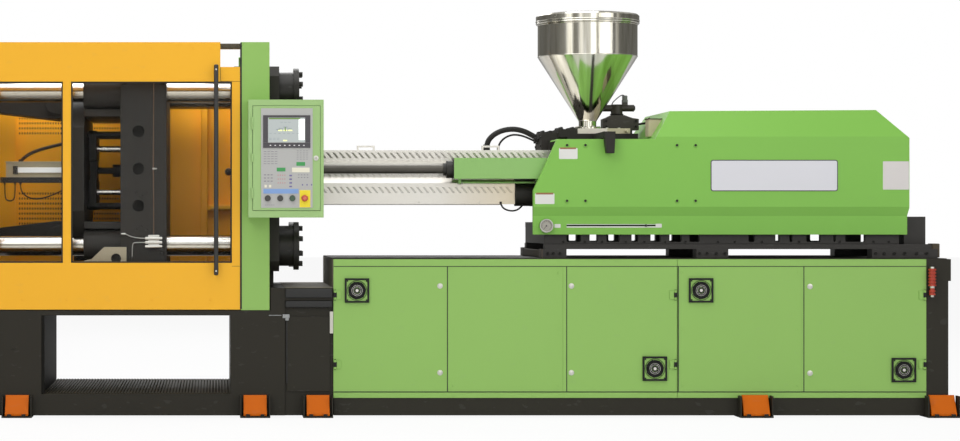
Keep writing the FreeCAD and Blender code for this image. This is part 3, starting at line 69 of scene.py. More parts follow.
class Wire:
    """A shader socket that works in Python arithmetic, each step as a Math node."""

    def __init__(self, finish, socket):
        self.finish = finish
        self.socket = socket

    def step(self, operation, *values):
        return self.finish.node("Math", {"operation": operation}, *values)

    __add__ = __radd__ = operator("ADD")
    __mul__ = __rmul__ = operator("MULTIPLY")
    __sub__ = operator("SUBTRACT")
    __rsub__ = operator("SUBTRACT", swapped=True)
    __truediv__ = operator("DIVIDE")
    __gt__ = operator("GREATER_THAN")
    __lt__ = operator("LESS_THAN")

    def __abs__(self):
        return self.step("ABSOLUTE", self)


class Graph:
    """A node tree that is written as arithmetic on its wires."""

    def __init__(self, tree):
        self.tree = tree

    def node(self, kind, settings, *values, output=None, **named):
        """Adds a node: its settings first, then its enabled sockets in order or by name."""
        made = self.tree.nodes.new("ShaderNode" + kind)
        for key, value in settings.items():
            if key == "stops":
                ramp = made.color_ramp.elements
                while len(ramp) < len(value):
                    ramp.new(0.5)
                for stop, (place, color) in zip(ramp, value):
                    stop.position = place
                    stop.color = (*color, 1)
            else:
                setattr(made, key, value)
        sockets = [socket for socket in made.inputs if socket.enabled]
        pairs = list(zip(sockets, values))
        pairs += [(made.inputs[key.replace("_", " ")], value) for key, value in named.items()]
        for socket, value in pairs:
            if isinstance(value, Wire):
                self.tree.links.new(value.socket, socket)
            else:
                socket.default_value = value
        outputs = [socket for socket in made.outputs if socket.enabled]
        return Wire(self, made.outputs[output] if output else outputs[0])

    def split(self, vector):
        """The three parts of a vector."""
        parts = self.node("SeparateXYZ", {}, vector)
        return [Wire(self, parts.socket.node.outputs[k]) for k in range(3)]

    def ray(self, kind):
        """1 for a ray of that kind, else 0."""
        return self.node("LightPath", {}, output=f"Is {kind} Ray")

    def blend(self, share, first, second):
        """The first colour where share is 0, the second where it is 1."""
        pair = [(*c, 1) if isinstance(c, tuple) else c for c in (first, second)]
        return self.node("Mix", {"data_type": "RGBA"}, share, *pair)


class Finish(Graph):
    """A surface finish: one shader, and the nodes that vary it over the piece."""

    def __init__(self, name, **values):
        self.name = name
        self.material = bpy.data.materials.new(name)
        self.material.use_nodes = True
        super().__init__(self.material.node_tree)
        self.shader = self.tree.nodes["Principled BSDF"]
        for key, value in values.items():
            self.feed(key, value)

    def feed(self, key, value):
        """Sets or links one of the shader's own sockets."""
        socket = self.shader.inputs[key.replace("_", " ")]
        if isinstance(value, Wire):
            self.tree.links.new(value.socket, socket)
        elif hasattr(value, "__len__") and len(value) == 3 and socket.type == "RGBA":
            socket.default_value = (*value, 1)
        else:
            socket.default_value = value

    def here(self):
        return self.node("TexCoord", {}, output="Object")

    def millimetres(self):
        """The three parts of the place on the piece, in millimetres."""
        return [part * 1000 for part in self.split(self.here())]

    def noise(self, scale, detail=2.0, stretch=(1, 1, 1)):
        """Cloudy noise with features of about 1/scale metres, drawn out along an axis."""
        place = self.node("VectorMath", {"operation": "MULTIPLY"}, self.here(), stretch)
        return self.node("TexNoise", {}, place, Scale=scale, Detail=detail)

    def relief(self, height, strength, depth, rounding=0.0):
        """Feeds the normal from a height, with the solid's own edges softened."""
        bump = {"Strength": strength, "Distance": depth, "Height": height}
        if rounding:
            bump["Normal"] = self.node("Bevel", {"samples": 6}, rounding)
        self.feed("Normal", self.node("Bump", {}, **bump))


eye = bpy.data.cameras.new("eye")
eye.lens = 90.5
eye.sensor_width = 36
eye.shift_x = 0.276
eye.clip_end = 200
camera = placed("eye", eye)
camera.location = (-0.832, -14.628, 1.140)
camera.rotation_euler = (pi / 2, 0, 0)
bpy.context.scene.camera = camera
bpy.context.scene.view_settings.view_transform = "Standard"

world = bpy.data.worlds.new("white_room")
world.use_nodes = True
bpy.context.scene.world = world
hall = Graph(world.node_tree)
east, north, height = hall.split(hall.node("TexCoord", {}, output="Generated"))
turn = east.step("ARCTAN2", east, north * -1) / tau + 0.5
BANDS = (  # what polished metal mirrors round the hall: a share of the turn, and its brightness
    (0.00, 0.24), (0.10, 0.15), (0.27, 0.17), (0.335, 0.36), (0.352, 1.5), (0.376, 1.5),
    (0.388, 0.30), (0.425, 0.34), (0.432, 0.9), (0.444, 0.9), (0.452, 0.34), (0.490, 0.42),
    (0.503, 1.5), (0.530, 1.5), (0.540, 0.32), (0.583, 0.40), (0.590, 1.3), (0.612, 1.3),
    (0.628, 0.18), (0.660, 0.20), (0.668, 0.6), (0.680, 0.6), (0.690, 0.18), (0.75, 0.15),
    (0.90, 0.16), (1.0, 0.24))
walls = hall.node("ValToRGB", {"stops": [
    (place, (level, level * 0.985, level * 0.92)) for place, level in BANDS]}, turn)
lifted = hall.node("MapRange", {}, height, From_Min=0.25, From_Max=0.6)
around = hall.blend(lifted, walls, (0.52, 0.52, 0.51))
seen = hall.ray("Camera")
lighting = hall.blend(hall.ray("Glossy"), (0.365, 0.365, 0.365), around)
shown = hall.blend(seen.step("MAXIMUM", seen, hall.ray("Transmission")), lighting, (1.0, 1.0, 1.0))
hall.tree.links.new(shown.socket, hall.tree.nodes["Background"].inputs["Color"])

for name, place, target, size, power in (  # metres and watts
    ("key_lamp", (-5.0, -9.0, 7.5), (0, 0, 1.2), 6.0, 252),
    ("fill_lamp", (6.5, -8.0, 5.0), (0.5, 0, 1.0), 6.0, 176),
    ("rear_lamp", (0.0, 8.0, 7.0), (0, 0, 1.2), 6.0, 300),
    ("low_lamp", (0.0, -9.0, 0.9), (0, 0, 0.6), 7.0, 76),
    ("top_lamp", (-0.5, -1.5, 6.8), (-0.5, -0.4, 0), 6.0, 250),
    ("bay_lamp", (-1.5, 0.15, 3.0), (-1.5, 0.85, 1.2), 1.2, 30),
):
    lamp = bpy.data.lights.new(name, "AREA")
    lamp.size = size
    lamp.energy = power
    made = placed(name, lamp)
    made.location = place
    made.rotation_euler = (Vector(place) - Vector(target)).to_track_quat("Z", "Y").to_euler()

floor_shape = bmesh.new()
bmesh.ops.create_grid(floor_shape, x_segments=1, y_segments=1, size=60)
floor_mesh = bpy.data.meshes.new("floor")
floor_shape.to_mesh(floor_mesh)
floor_shape.free()
placed("floor", floor_mesh)
pale = Finish("floor_white", Base_Color=(0.9, 0.9, 0.9), Roughness=0.7)
glow = pale.node("Emission", {}, (1, 1, 1, 1), 1.0)
lacquer = Wire(pale, pale.shader.outputs[0])
shown = pale.node("MixShader", {}, pale.ray("Camera") * 0.90, lacquer, glow)
pale.tree.links.new(shown.socket, pale.tree.nodes["Material Output"].inputs["Surface"])
floor_mesh.materials.append(pale.material)


# ---- Bases: welded box beams that carry both ends of the machine, painted satin black. They
# ---- stand on plate feet, bolted down under orange pockets.


def dress(finish, *names):
    """Gives CAD nodes a finish of their own."""
    for name in names:
        for slot in nodes[name].material_slots:
            slot.material = finish.material


def painted(name, color, roughness=0.42, peel=0.30, patch=0.05, dust=0.0, rounding=0.003, gloss=0.4):
    """Sprayed paint on steel: faint orange peel, slow drifts of tone, scuffs and some dust."""
    paint = Finish(name, Specular_IOR_Level=gloss)
    drift = paint.noise(0.9, 3)
    scuff = paint.noise(14, 5, (1, 1, 2.5))
    grain = paint.noise(650, 1)
    worn = (scuff > 0.66) * 0.5
    darker = tuple(c * (1 - patch) for c in color)
    lighter = tuple(min(1, c * (1 + patch)) for c in color)
    tone = paint.blend(drift, darker, lighter)
    dusty = tuple(0.5 * c + 0.12 for c in color)
    tone = paint.blend(worn * (0.10 + dust), tone, dusty)
    paint.tone = tone
    paint.feed("Base Color", tone)
    paint.feed("Roughness", roughness - 0.06 + 0.14 * drift + 0.10 * worn)
    paint.relief(grain * 0.6 + scuff * 0.4, peel, 0.0004, rounding)
    return paint


beam_black = painted("beam_black", (0.0235, 0.0210, 0.0150), 0.46, 0.4, 0.16, 0.10, gloss=0.2)
dress(beam_black, "clamp_base", "link_housing", "machine_feet", "injection_bed")


work = bmesh.new()  # the workpiece: shapes join it until fit() takes them off as one piece
FRONT = -703  # the front face of cabinets and gate


def soften(edges, size, segments=2):
    """Rounds edges of the workpiece to a size in millimetres."""
    bmesh.ops.bevel(work, geom=list(edges), offset=size / 1000, affect="EDGES",
                    segments=segments, profile=0.5, material=-1)


def slab(x, y, z, edge=0.0, segments=2):
    """A block between three spans in millimetres, with rounded edges."""
    low, high = at(x[0], y[0], z[0]), at(x[1], y[1], z[1])
    stretch = Matrix.Translation((low + high) / 2) @ Matrix.Diagonal((*(high - low), 1))
    corners = bmesh.ops.create_cube(work, size=1, matrix=stretch)["verts"]
    if edge:
        soften({e for corner in corners for e in corner.link_edges}, edge, segments)


def border(x, y, z, wide, edge):
    """Four strips round a field: two posts over its whole height, and strips between their ends."""
    (west, east), (low, high) = x, z
    for u, v in (((west, west + wide), z), ((east - wide, east), z),
                 ((west + wide, east - wide), (low, low + wide)),
                 ((west + wide, east - wide), (high - wide, high))):
        slab(u, y, v, edge)


TOWARDS = {side: Matrix.Rotation(radians(angle), 4, axis) for side, angle, axis in (
    ("right", 90, "Y"), ("left", -90, "Y"), ("front", 90, "X"), ("back", -90, "X"),
    ("up", 0, "X"), ("down", 180, "X"))}


def stand(facing, foot):
    """The frame of a round shape that grows from its foot towards one side."""
    return Matrix.Translation(at(*foot)) @ TOWARDS[facing]


def disc(facing, foot, radius, height, edge=0.0, sides=24, top=None):
    """A round stub on its foot, facing one way, with its far rim rounded."""
    middle = stand(facing, foot) @ Matrix.Translation((0, 0, height / 2000))
    corners = bmesh.ops.create_cone(
        work, cap_ends=True, segments=sides, radius1=radius / 1000,
        radius2=(radius if top is None else top) / 1000, depth=height / 1000, matrix=middle)["verts"]
    far = middle @ Vector((0, 0, height / 2000))
    cap = min((f for f in {f for c in corners for f in c.link_faces} if len(f.verts) == sides),
              key=lambda face: (face.calc_center_median() - far).length)
    if edge:
        soften(cap.edges, edge)
    return cap


def screw_head(facing, foot, radius, height):
    """A socket screw's head: a rounded cylinder with a sunk hexagon."""
    cap = disc(facing, foot, radius, height, sides=12)
    for share in (0.14, 0.34):
        bmesh.ops.inset_region(work, faces=[cap], thickness=radius * share / 1000)
    inward = TOWARDS[facing].to_3x3() @ Vector((0, 0, -height * 0.5 / 1000))
    bmesh.ops.translate(work, verts=list(cap.verts), vec=inward)


def nut_head(facing, foot, radius, height):
    """A hexagon nut or bolt head, chamfered on its outer rim."""
    disc(facing, foot, radius, height, radius * 0.12, 6)


def row(draw, facing, x, y, z, *measures):
    """Draws one round shape at each crossing of places along the three axes."""
    spans = [span if hasattr(span, "__len__") else (span,) for span in (x, y, z)]
    for foot in product(*spans):
        draw(facing, foot, *measures)


def fit(name, finish, body="machine", smooth=False):
    """Takes the workpiece off as a finished piece, and hangs it on the body that carries it."""
    mesh = bpy.data.meshes.new(name)
    work.to_mesh(mesh)
    work.clear()
    mesh.materials.append(finish.material)
    for face in mesh.polygons:
        face.use_smooth = smooth
    made = placed(name, mesh)
    if smooth:
        mesh.set_sharp_from_angle(angle=radians(35))
    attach(made, body)
    return made


bolt_black = painted("bolt_black", (0.015, 0.014, 0.0115), 0.38, 0.2, 0.2, 0.15, 0.0, 0.3)
FEET = ((-3440, -3266), (-2065, -1891), (-687, -513), (-322, -150), (2201, 2392), (3285, 3471))
for west, east in FEET:
    row(nut_head, "up", (west + 45, east - 45), (-791, 688), 9, 13, 14)
    row(disc, "up", (west + 45, east - 45), (-791, 688), 9, 19, 3, 0.6)
fit("anchor_bolts", bolt_black)

dress(painted("foot_orange", (0.62, 0.128, 0.001), 0.45, 0.35, 0.10, 0.05, 0.004, 0.15), "foot_pockets")
for x in range(-1830, -748, 18):
    slab((x, x + 10), (-690, 590), (133.2, 138))
for side in range(-680, 590, 62):
    slab((-1832, -748), (side, side + 8), (133.4, 136))
fit("floor_grating", painted("grate_brown", (0.052, 0.044, 0.028), 0.5, 0.4, 0.2, 0.2, 0.0, 0.2))
# Near-black sheets on the well's inner walls: painted shade, standing in for the shade inside the clamp
# base's well.
slab((-1838.6, -1836), (-640, 590), (138, 588))
slab((-1838.6, -1822), (-700, -640), (138, 588), 2)
row(disc, "front", -1829, -700, range(200, 560, 60), 4, 3, 0.8, 12)
fit("well_shade_sheet", painted("painted_shade_black", (0.008, 0.0075, 0.006), 0.6, 0.4, 0.2, 0.0, 0.0, 0.1))
slab((-2088, -2079), (-702.5, 598), (134, 622))
disc("front", (-2004, FRONT, 400), 10, 6, 2)
fit("post_edge", beam_black)

dress(painted("tread_black", (0.020, 0.018, 0.014), 0.5, 0.5, 0.2, 0.35, 0.002, 0.25), "tread_plate")


# ---- Cabinet fronts: pressed doors and screwed panels of 2.5 mm sheet with a satin green coat.
# ---- Quarter-turn latches close them, and box fans cool the inside.

cabinet_green = painted("cabinet_green", (0.268, 0.482, 0.112), 0.40, 0.28, 0.045, 0.05)
dress(cabinet_green, "cabinet_frames", "door_left", "door_middle", "door_right", "fixed_panels",
      "column_guards")


def grained(name, color, rough, grain, strength, depth, rounding=0.0, **more):
    """One colour with a fine grain. Its roughness may drift: base, spread and a noise."""
    made = Finish(name, Base_Color=color, **more)
    if isinstance(rough, tuple):
        base, spread, *cloud = rough
        rough = base + spread * made.noise(*cloud)
    made.feed("Roughness", rough)
    made.relief(made.noise(*grain), strength, depth, rounding)
    return made


fan_black = grained("fan_black", (0.009,) * 3, 0.42, (1200, 2), 0.25, 0.0003,
                    Specular_IOR_Level=0.25)
bright = grained("latch_bright", (0.62, 0.61, 0.57), (0.22, 0.16, 300, 3), (900, 2), 0.1, 0.0002,
                 Metallic=1.0)
# Near-black for the fan rotors' blades, and as painted shade for the fans' depth and the lock's keyway.
rotor_and_shade_black = grained("fan_rotor_and_shade", (0.006,) * 3, 0.7, (200, 1), 0.2, 0.0005)


def turned(facing, foot, profile, sides=48):
    """A ring turned round the axis from its foot, from points of radius and height."""
    base = stand(facing, foot)
    rings = []
    for radius, height in profile:
        rim = polar(sides, radius)
        rings.append([work.verts.new(base @ (Vector((*place, height)) / 1000)) for place in rim])
    faces = []
    for inner, outer in zip(rings, rings[1:] + rings[:1]):
        for step in range(sides):
            ahead = (step + 1) % sides
            faces.append(work.faces.new((inner[step], inner[ahead], outer[ahead], outer[step])))
    bmesh.ops.recalc_face_normals(work, faces=faces)


def polar(count, radius, start=0.0):
    """Places round a centre, evenly spaced from an angle in degrees."""
    angles = [radians(start + 360 * step / count) for step in range(count)]
    return [(radius * cos(angle), radius * sin(angle)) for angle in angles]


def flat_ring(place, radius, growth):
    """A flat ring that faces the front: a circle, and the same circle grown by a factor."""
    inner = bmesh.ops.create_circle(work, segments=40, radius=radius / 1000,
                                    matrix=stand("front", place))["verts"]
    edges = list({e for v in inner for e in v.link_edges})
    grown = bmesh.ops.extrude_edge_only(work, edges=edges)["geom"]
    bmesh.ops.scale(work, verts=[v for v in grown if isinstance(v, bmesh.types.BMVert)],
                    vec=(growth,) * 3, space=Matrix.Translation(-at(*place)))


def blade(place, angle, size, *more):
    """A thin block of a size in metres, turned in the plane that faces the front."""
    turn = Matrix.Translation(at(*place)) @ Matrix.Rotation(angle, 4, "Y")
    for step in (*more, Matrix.Diagonal((*size, 1))):
        turn = turn @ step
    bmesh.ops.create_cube(work, size=1, matrix=turn)


FANS = (("left", -9, 734, "left_door"), ("mid", 1718, 281, "middle_door"),
        ("panel", 1986, 735, "machine"), ("right", 3162, 273, "right_door"))
for tag, x, z, body in FANS:
    for u, v in (((-71, 71), (60, 71)), ((-71, 71), (-71, -60)),
                 ((-71, -60), (-60, 60)), ((60, 71), (-60, 60))):
        slab((x + u[0], x + u[1]), (-716.5, -705), (z + v[0], z + v[1]), 1.5)
    slab((x - 61, x + 61), (-706, -704), (z - 61, z + 61))
    for radius in (18, 28, 38, 48, 56):
        flat_ring((x, -716.5, z), radius, 1 + 2.6 / radius)
    disc("front", (x, -714, z), 15, 4.5, 1.2)
    for angle in (pi / 4, 3 * pi / 4):
        blade((x, -716, z), angle, (0.118, 0.0016, 0.0026))
    for u, v in polar(4, 78.4, 45):
        screw_head("front", (x + u, -715, z + v), 4.5, 2.6)
    fit(f"fan_grille_{tag}", fan_black, body)
    disc("front", (x, -718.5, z), 9, 0.8, 0.3)
    for radius in (22, 30):
        wide = radius + 1.6
        turned("front", (x, -718.5, z), ((radius, 0), (wide, 0), (wide, 0.8), (radius, 0.8)), 32)
    fit(f"fan_hub_{tag}", bright, body)
for tag, x, z, body in FANS:
    # A near-black disc behind the blades fills the fan's opening: painted shade in its depth.
    disc("front", (x, -704, z), 57, 2)
    for step in range(7):
        blade((x, -707, z), step * tau / 7, (0.036, 0.0015, 0.022),
              Matrix.Translation((0.034, 0, 0)), Matrix.Rotation(0.6, 4, "X"))
    fit(f"fan_rotor_{tag}", rotor_and_shade_black, body)

for side, x, heights in (("left", 473, (760, 257)), ("middle", 1235, (760, 257)),
                         ("right", 2619, (757, 254))):
    for number, z in enumerate(heights):
        disc("front", (x, FRONT, z), 16, 2.5, 0.8, 32)
        disc("front", (x, -705.5, z), 12.5, 3.5, 1.0, 32, 11.5)
        slab((x - 1.2, x + 1.2), (-709.6, -708.6), (z - 6, z + 6))
        fit(f"latch_{side}_{number}", bright, f"{side}_door", True)

for side, post in (("left", -136), ("middle", 1839), ("right", 3285)):
    for z in (305, 708):
        slab((post - 9.5, post + 9.5), (-717.5, -703.5), (z - 15, z + 15), 3, 3)
        for top, way in ((z + 28, "up"), (z - 28, "down")):
            disc(way, (post, -710, top), 5.6, 3, 1.2, 16)
    fit(f"hinge_caps_{side}", fan_black, f"{side}_door", True)
row(screw_head, "front", (547, 1158, 1878, 2544), FRONT, (180, 508, 838), 5, 2.5)
fit("panel_screws", cabinet_green)

# Black rubber for real seals and ends; the same black also fills some gaps as painted shade.
seal_and_shade_black = grained("seal_and_shade_black", (0.012,) * 3, 0.6, (700, 2), 0.3, 0.0003)
dress(painted("coupling_red", (0.42, 0.045, 0.022), 0.35, 0.25, 0.15, 0.2), "water_couplings")
for low, high, radius in ((760, 862, 22), (708, 748, 18)):
    disc("up", (3321, -729, high), radius - 8, 10, 1.5)
    disc("down", (3321, -729, low), radius - 8, 12, 1.5)
fit("coupling_tails", bright, smooth=True)

dress(painted("pump_blue", (0.085, 0.14, 0.20), 0.5, 0.5, 0.12, 0.2), "pump_motor", "oil_cooler")
switch_grey = painted("switch_grey", (0.30, 0.31, 0.31), 0.5, 0.2, 0.06, 0.1, 0.001)
dress(switch_grey, "switchgear")
# Dark strips in the gaps round the doors: painted shade, standing in for the shade in the seams.
for x in (516, 1208, 1856, 2584):
    slab((x - 2.6, x + 2.6), (-703.7, -701), (149, 872))
for z in (146.5, 873.5):
    slab((-143, 3292), (-703.7, -701), (z - 2, z + 2))
fit("door_gap_shade_strips", seal_and_shade_black)
slab((-166, -147), (-704.5, -702), (485, 612), 1)
fit("side_label", painted("tag_white", (0.60, 0.58, 0.52), 0.5, 0.3, 0.05, 0.1, 0.0))
for low, high in ((692, 744), (636, 674)):
    slab((-424, -152), (-717, -704), (low, high), 6, 4)
# A dark upright strip along the housing's left edge, which darkens that edge.
slab((-418, -412), (-704.5, -702), (196, 576))
fit("housing_ducts_and_dark_strip", seal_and_shade_black, smooth=True)
slab((-440, -400), (-707, -702), (574, 596), 2)
slab((-424, -404), (-709, -702), (560, 576), 2)
slab((-520, -446), (-706, -702), (588, 592), 1)
fit("housing_catch", switch_grey)
slab((-424, -147), (-700, 578), (748.3, 750))
slab((-147.4, -145.3), (-695, 590), (752, 914))
fit("shelf_mats", painted("mat_tan", (0.225, 0.200, 0.150), 0.6, 0.8, 0.25, 0.3, 0.0, 0.2))


# ---- Platens and toggle: ductile iron castings with a sandy skin under black paint, machined
# ---- only on their faces. Oil leaves darker, glossier patches on them.


def cast_iron(name):
    """Painted iron castings, matt with sand and patched with oil."""
    iron = Finish(name, Specular_IOR_Level=0.28)
    sand = iron.noise(120, 6)
    oil = iron.noise(3.2, 4, (1, 1, 0.6))
    iron.tone = iron.blend(oil, (0.0125, 0.0112, 0.0090), (0.0290, 0.0258, 0.0210))
    iron.rough = 0.34 + 0.34 * oil + 0.08 * sand
    iron.feed("Base Color", iron.tone)
    iron.feed("Roughness", iron.rough)
    iron.relief(sand * 0.8 + iron.noise(24, 3) * 0.6, 0.35, 0.0011, 0.005)
    return iron


casting = cast_iron("casting_black")
dress(casting, "fixed_platen", "tail_platen", "clamp_cylinder", "rear_link_upper", "rear_link_lower",
      "front_link_upper", "front_link_lower", "crosshead", "injection_housing", "thrust_unit")

platen = cast_iron("platen_black")
x_mm, y_mm, z_mm = platen.millimetres()
shoe = (abs(y_mm - AXIS_SIDE) > 612) * (z_mm < 990) * (x_mm < -1340)
platen.feed("Base Color", platen.blend(shoe, platen.tone, (0.38, 0.335, 0.235)))
dress(platen, "moving_platen")
dress(bolt_black, "tie_bar_nuts", "adjusting_nuts")

pusher = cast_iron("pusher_black")
x_mm, y_mm, z_mm = pusher.millimetres()
across = abs(y_mm - AXIS_SIDE)
upward = abs(z_mm - AXIS_HEIGHT)
pin = (across > 112) * (across < 148) * (upward > 113) * (upward < 149) * (x_mm > -1544.9)
pusher.feed("Base Color", pusher.blend(pin, pusher.tone, (0.66, 0.65, 0.61)))
pusher.feed("Metallic", pin)
pusher.feed("Roughness", pusher.rough - pin * 0.28)
dress(pusher, "ejector_plate")

BAR_OUT = 453  # how far each tie bar lies from the axis, sideways and up or down
BAR_RADIUS = 57.5
chrome = Finish("bar_chrome", Metallic=1.0)
smear = chrome.noise(5, 4, (0.15, 1, 1))
lathe = chrome.noise(900, 1, (1, 0.02, 0.02))
_, y_mm, z_mm = chrome.millimetres()
over_axis = z_mm - AXIS_HEIGHT
share = (abs(over_axis) - BAR_OUT) * over_axis.step("SIGN", over_axis) / BAR_RADIUS
# Bands round each bar by height are painted reflections in the base colour: a dark lower part, a tan band, a
# dark line, a bright painted highlight near the top and a darker top edge.
painted_reflection_bands = chrome.node("ValToRGB", {"stops": (
    (0.00, (0.10, 0.09, 0.07)), (0.28, (0.14, 0.125, 0.10)), (0.36, (0.50, 0.455, 0.36)),
    (0.50, (0.62, 0.575, 0.48)), (0.53, (0.16, 0.145, 0.12)), (0.59, (0.16, 0.145, 0.12)),
    (0.65, (0.80, 0.785, 0.75)), (0.86, (0.80, 0.785, 0.75)), (0.93, (0.22, 0.20, 0.17)))},
    share * 0.5 + 0.5)
smeared_painted_reflections = chrome.blend(smear * 0.5, painted_reflection_bands, (0.50, 0.475, 0.42))
# The rear bars are painted darker as painted shade.
chrome.feed("Base Color", chrome.blend(y_mm > AXIS_SIDE, smeared_painted_reflections, (0.17, 0.155, 0.13)))
chrome.feed("Roughness", 0.13 + 0.10 * smear + 0.06 * lathe)
chrome.relief(lathe, 0.04, 0.0002)
dress(chrome, "tie_bars")


def bar_steel(name, metallic, dark, pale, rough, spread):
    """Ground steel in bars and plates, with its streaks along them."""
    made = Finish(name, Metallic=metallic)
    made.feed("Base Color", made.blend(made.noise(6, 4), dark, pale))
    made.feed("Roughness", rough + spread * made.noise(500, 3, (1, 8, 8)))
    made.relief(made.noise(1400, 2, (1, 12, 12)), 0.08, 0.0002)
    return made


ground = bar_steel("ground_steel", 1.0, (0.36, 0.35, 0.32), (0.56, 0.55, 0.52), 0.26, 0.18)
dress(ground, "barrel", "screw", "hopper_base")
dress(bright, "lube_distributor")
rod_dark = bar_steel("rod_dark", 0.6, (0.055, 0.050, 0.042), (0.10, 0.092, 0.078), 0.34, 0.14)
dress(rod_dark, "carriage_rods")


# ---- Platen fastenings: blacked socket screws, chamfered bores and the lubrication's pipes and
# ---- clips on the moving platen's side.
for z in (1226, AXIS_HEIGHT, 1660):
    flat_ring((-1279, -601.4, z), 35.2, 1.06)
fit("hole_chamfers", bolt_black, "moving")
row(screw_head, "front", (-1292, -1232), -601, (1085, 1303), 9, 3)
row(screw_head, "front", -1262, -601, (1104, 1283), 9, 3)
row(screw_head, "front", (-1360, -1142), -601, (950, 1940), 14, 8)
row(screw_head, "front", (-1560, -1500, -1420), -620, 800, 11, 7)
fit("platen_screws", bolt_black, "moving")


def pipe(name, route, diameter, finish, body):
    """A pipe bent along a route, as a smooth spline guided by its points."""
    line = bpy.data.curves.new(name, "CURVE")
    line.dimensions = "3D"
    line.bevel_depth = diameter / 2000
    line.bevel_resolution = 5
    line.use_fill_caps = True
    spline = line.splines.new("NURBS")
    spline.points.add(len(route) - 1)
    for point, place in zip(spline.points, route):
        point.co = (*at(*place), 1)
    spline.order_u = 3
    spline.use_endpoint_u = True
    spline.resolution_u = 12
    made = placed(name, line)
    line.materials.append(finish.material)
    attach(made, body)
    return made


pipe("lube_riser", (
    (-1190, -607, 1056), (-1190, -607, 1200), (-1194, -607, 1500), (-1190, -607, 1800),
    (-1190, -607, 1985)), 2.5, painted("copper_pipe", (0.30, 0.165, 0.09), 0.4, 0.2, 0.2, 0.1, 0.0), "moving")
pipe("lube_branch_high", (
    (-1238, -610, 1036), (-1262, -610, 1036), (-1300, -611, 1040), (-1340, -612, 1052),
    (-1362, -610, 1066)), 5, ground, "moving")
pipe("lube_branch_mid", (
    (-1238, -610, 1012), (-1290, -610, 1012), (-1314, -610, 1008), (-1316, -610, 960),
    (-1316, -609, 930)), 5, ground, "moving")
disc("left", (-1356, -610, 1062), 6.5, 26, 1, 12, 4)
row(disc, "left", -1236, -623, (988, 1012, 1036), 5.5, 4, 0.8, 12)
row(disc, "right", -1144, -623, (988, 1012, 1036), 5.5, 4, 0.8, 12)
fit("lube_fittings", bright, "moving", True)
slab((-1198, -1186), (-610.5, -601), (1438, 1448), 2)
slab((-1187, -1172), (-603.5, -601), (1439, 1447), 1)
screw_head("front", (-1178, -603, AXIS_HEIGHT), 3.5, 3)
fit("lube_clips", ground, "moving")


# ---- Ejector sensor: a cream anodised channel holds a bright measuring bar between rubber ends.
# ---- Its cables loop below it, and a stiffer lead climbs to the platen.

cream = Finish("channel_cream", Metallic=0.35)
cream.feed("Base Color", cream.blend(cream.noise(20, 4), (0.40, 0.355, 0.235), (0.52, 0.465, 0.325)))
cream.feed("Roughness", 0.36 + 0.14 * cream.noise(260, 3, (0.1, 1, 1)))
cream.relief(cream.noise(700, 2, (0.1, 1, 1)), 0.1, 0.0002, 0.001)
dress(cream, "ejector_transducer")
satin_bar = grained("sensor_bar", (0.70, 0.71, 0.70), (0.30, 0.12, 500, 2, (0.05, 1, 1)),
                    (900, 2, (0.05, 1, 1)), 0.08, 0.0002, Metallic=0.9)
slab((-2006, -1731), (-346, -342), (1424, 1456), 2)
row(screw_head, "front", (-1960, -1870, -1775), -346, 1451, 2.6, 1.6)
fit("sensor_face", satin_bar, "moving")
slab((-2034, -2007), (-347.5, -322), (1416, 1464), 2.5)
slab((-2110, -1680), (-350, -316), (1364, 1398), 3)
slab((-1733, -1713), (-347, -326), (1418, 1462), 2)
row(disc, "down", (-2084, -2022, -1990, -1716), -333, 1366, 8, 14, 2, 16, 6)
disc("up", (-1990, -333, 1490), 12, 14, 2, 16, 11)
fit("sensor_ends", seal_and_shade_black, "moving")
for name, z, color in (("plug_white", 1442, (0.72, 0.71, 0.68)), ("plug_red", 1420, (0.50, 0.03, 0.02))):
    disc("right", (-1708, -352, z), 7, 26, 1.5, 16)
    disc("right", (-1683, -352, z), 4.5, 16, 1, 12)
    slab((-1704, -1690), (-352, -345), (z - 5, z + 5), 1)
    fit(f"{name}_part", grained(name, color, 0.35, (800, 2), 0.15, 0.0002), "moving", True)

rubber = grained("hose_rubber", (0.012, 0.0115, 0.010), (0.42, 0.2, 80, 4), (1500, 2), 0.25, 0.0003,
                 Specular_IOR_Level=0.3)


def free_hose(name, route, diameter, body, node=None):
    """A hose or cable between two fittings of the machine; where it stands for a node of the model, that node
    is hidden.
    """
    hose = pipe(name, route, diameter, rubber, body)
    tuple(at(*route[0]))
    if node:
        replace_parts(hose, node)


free_hose("cable_loop", (
    (-1990, -333, 1366), (-1990, -333, 1330), (-1974, -335, 1298), (-1938, -337, 1274),
    (-1890, -338, 1266), (-1830, -337, 1280), (-1770, -335, 1304), (-1722, -333, 1330),
    (-1716, -333, 1366)), 8, "moving", "sensor_cables")
free_hose("cable_drop", (
    (-2084, -333, 1366), (-2084, -334, 1276), (-2066, -335, 1257), (-2040, -335, 1257),
    (-2022, -334, 1276), (-2022, -333, 1366)), 8, "moving")
free_hose("conduit", (
    (-1990, -333, 1491), (-1965, -334, 1519), (-1920, -335, 1545), (-1860, -336, 1566),
    (-1790, -334, 1584), (-1720, -325, 1600), (-1677, -312, 1606)), 20, "moving")


# ---- Guards: folded 2.5 mm sheet with a yellow powder coat. The front gate slides on two rails,
# ---- with clear sheet in rubber channels, and the rear one is partly perforated.

gate_yellow = painted("gate_yellow", (0.88, 0.445, 0.015), 0.36, 0.22, 0.035, 0.02)
dress(gate_yellow, "front_gate", "gate_tracks")


def lattice(value, pitch):
    """How far a value lies from the middle of its cell, in millimetres."""
    return abs(value.step("WRAP", value, pitch / 2, -pitch / 2))


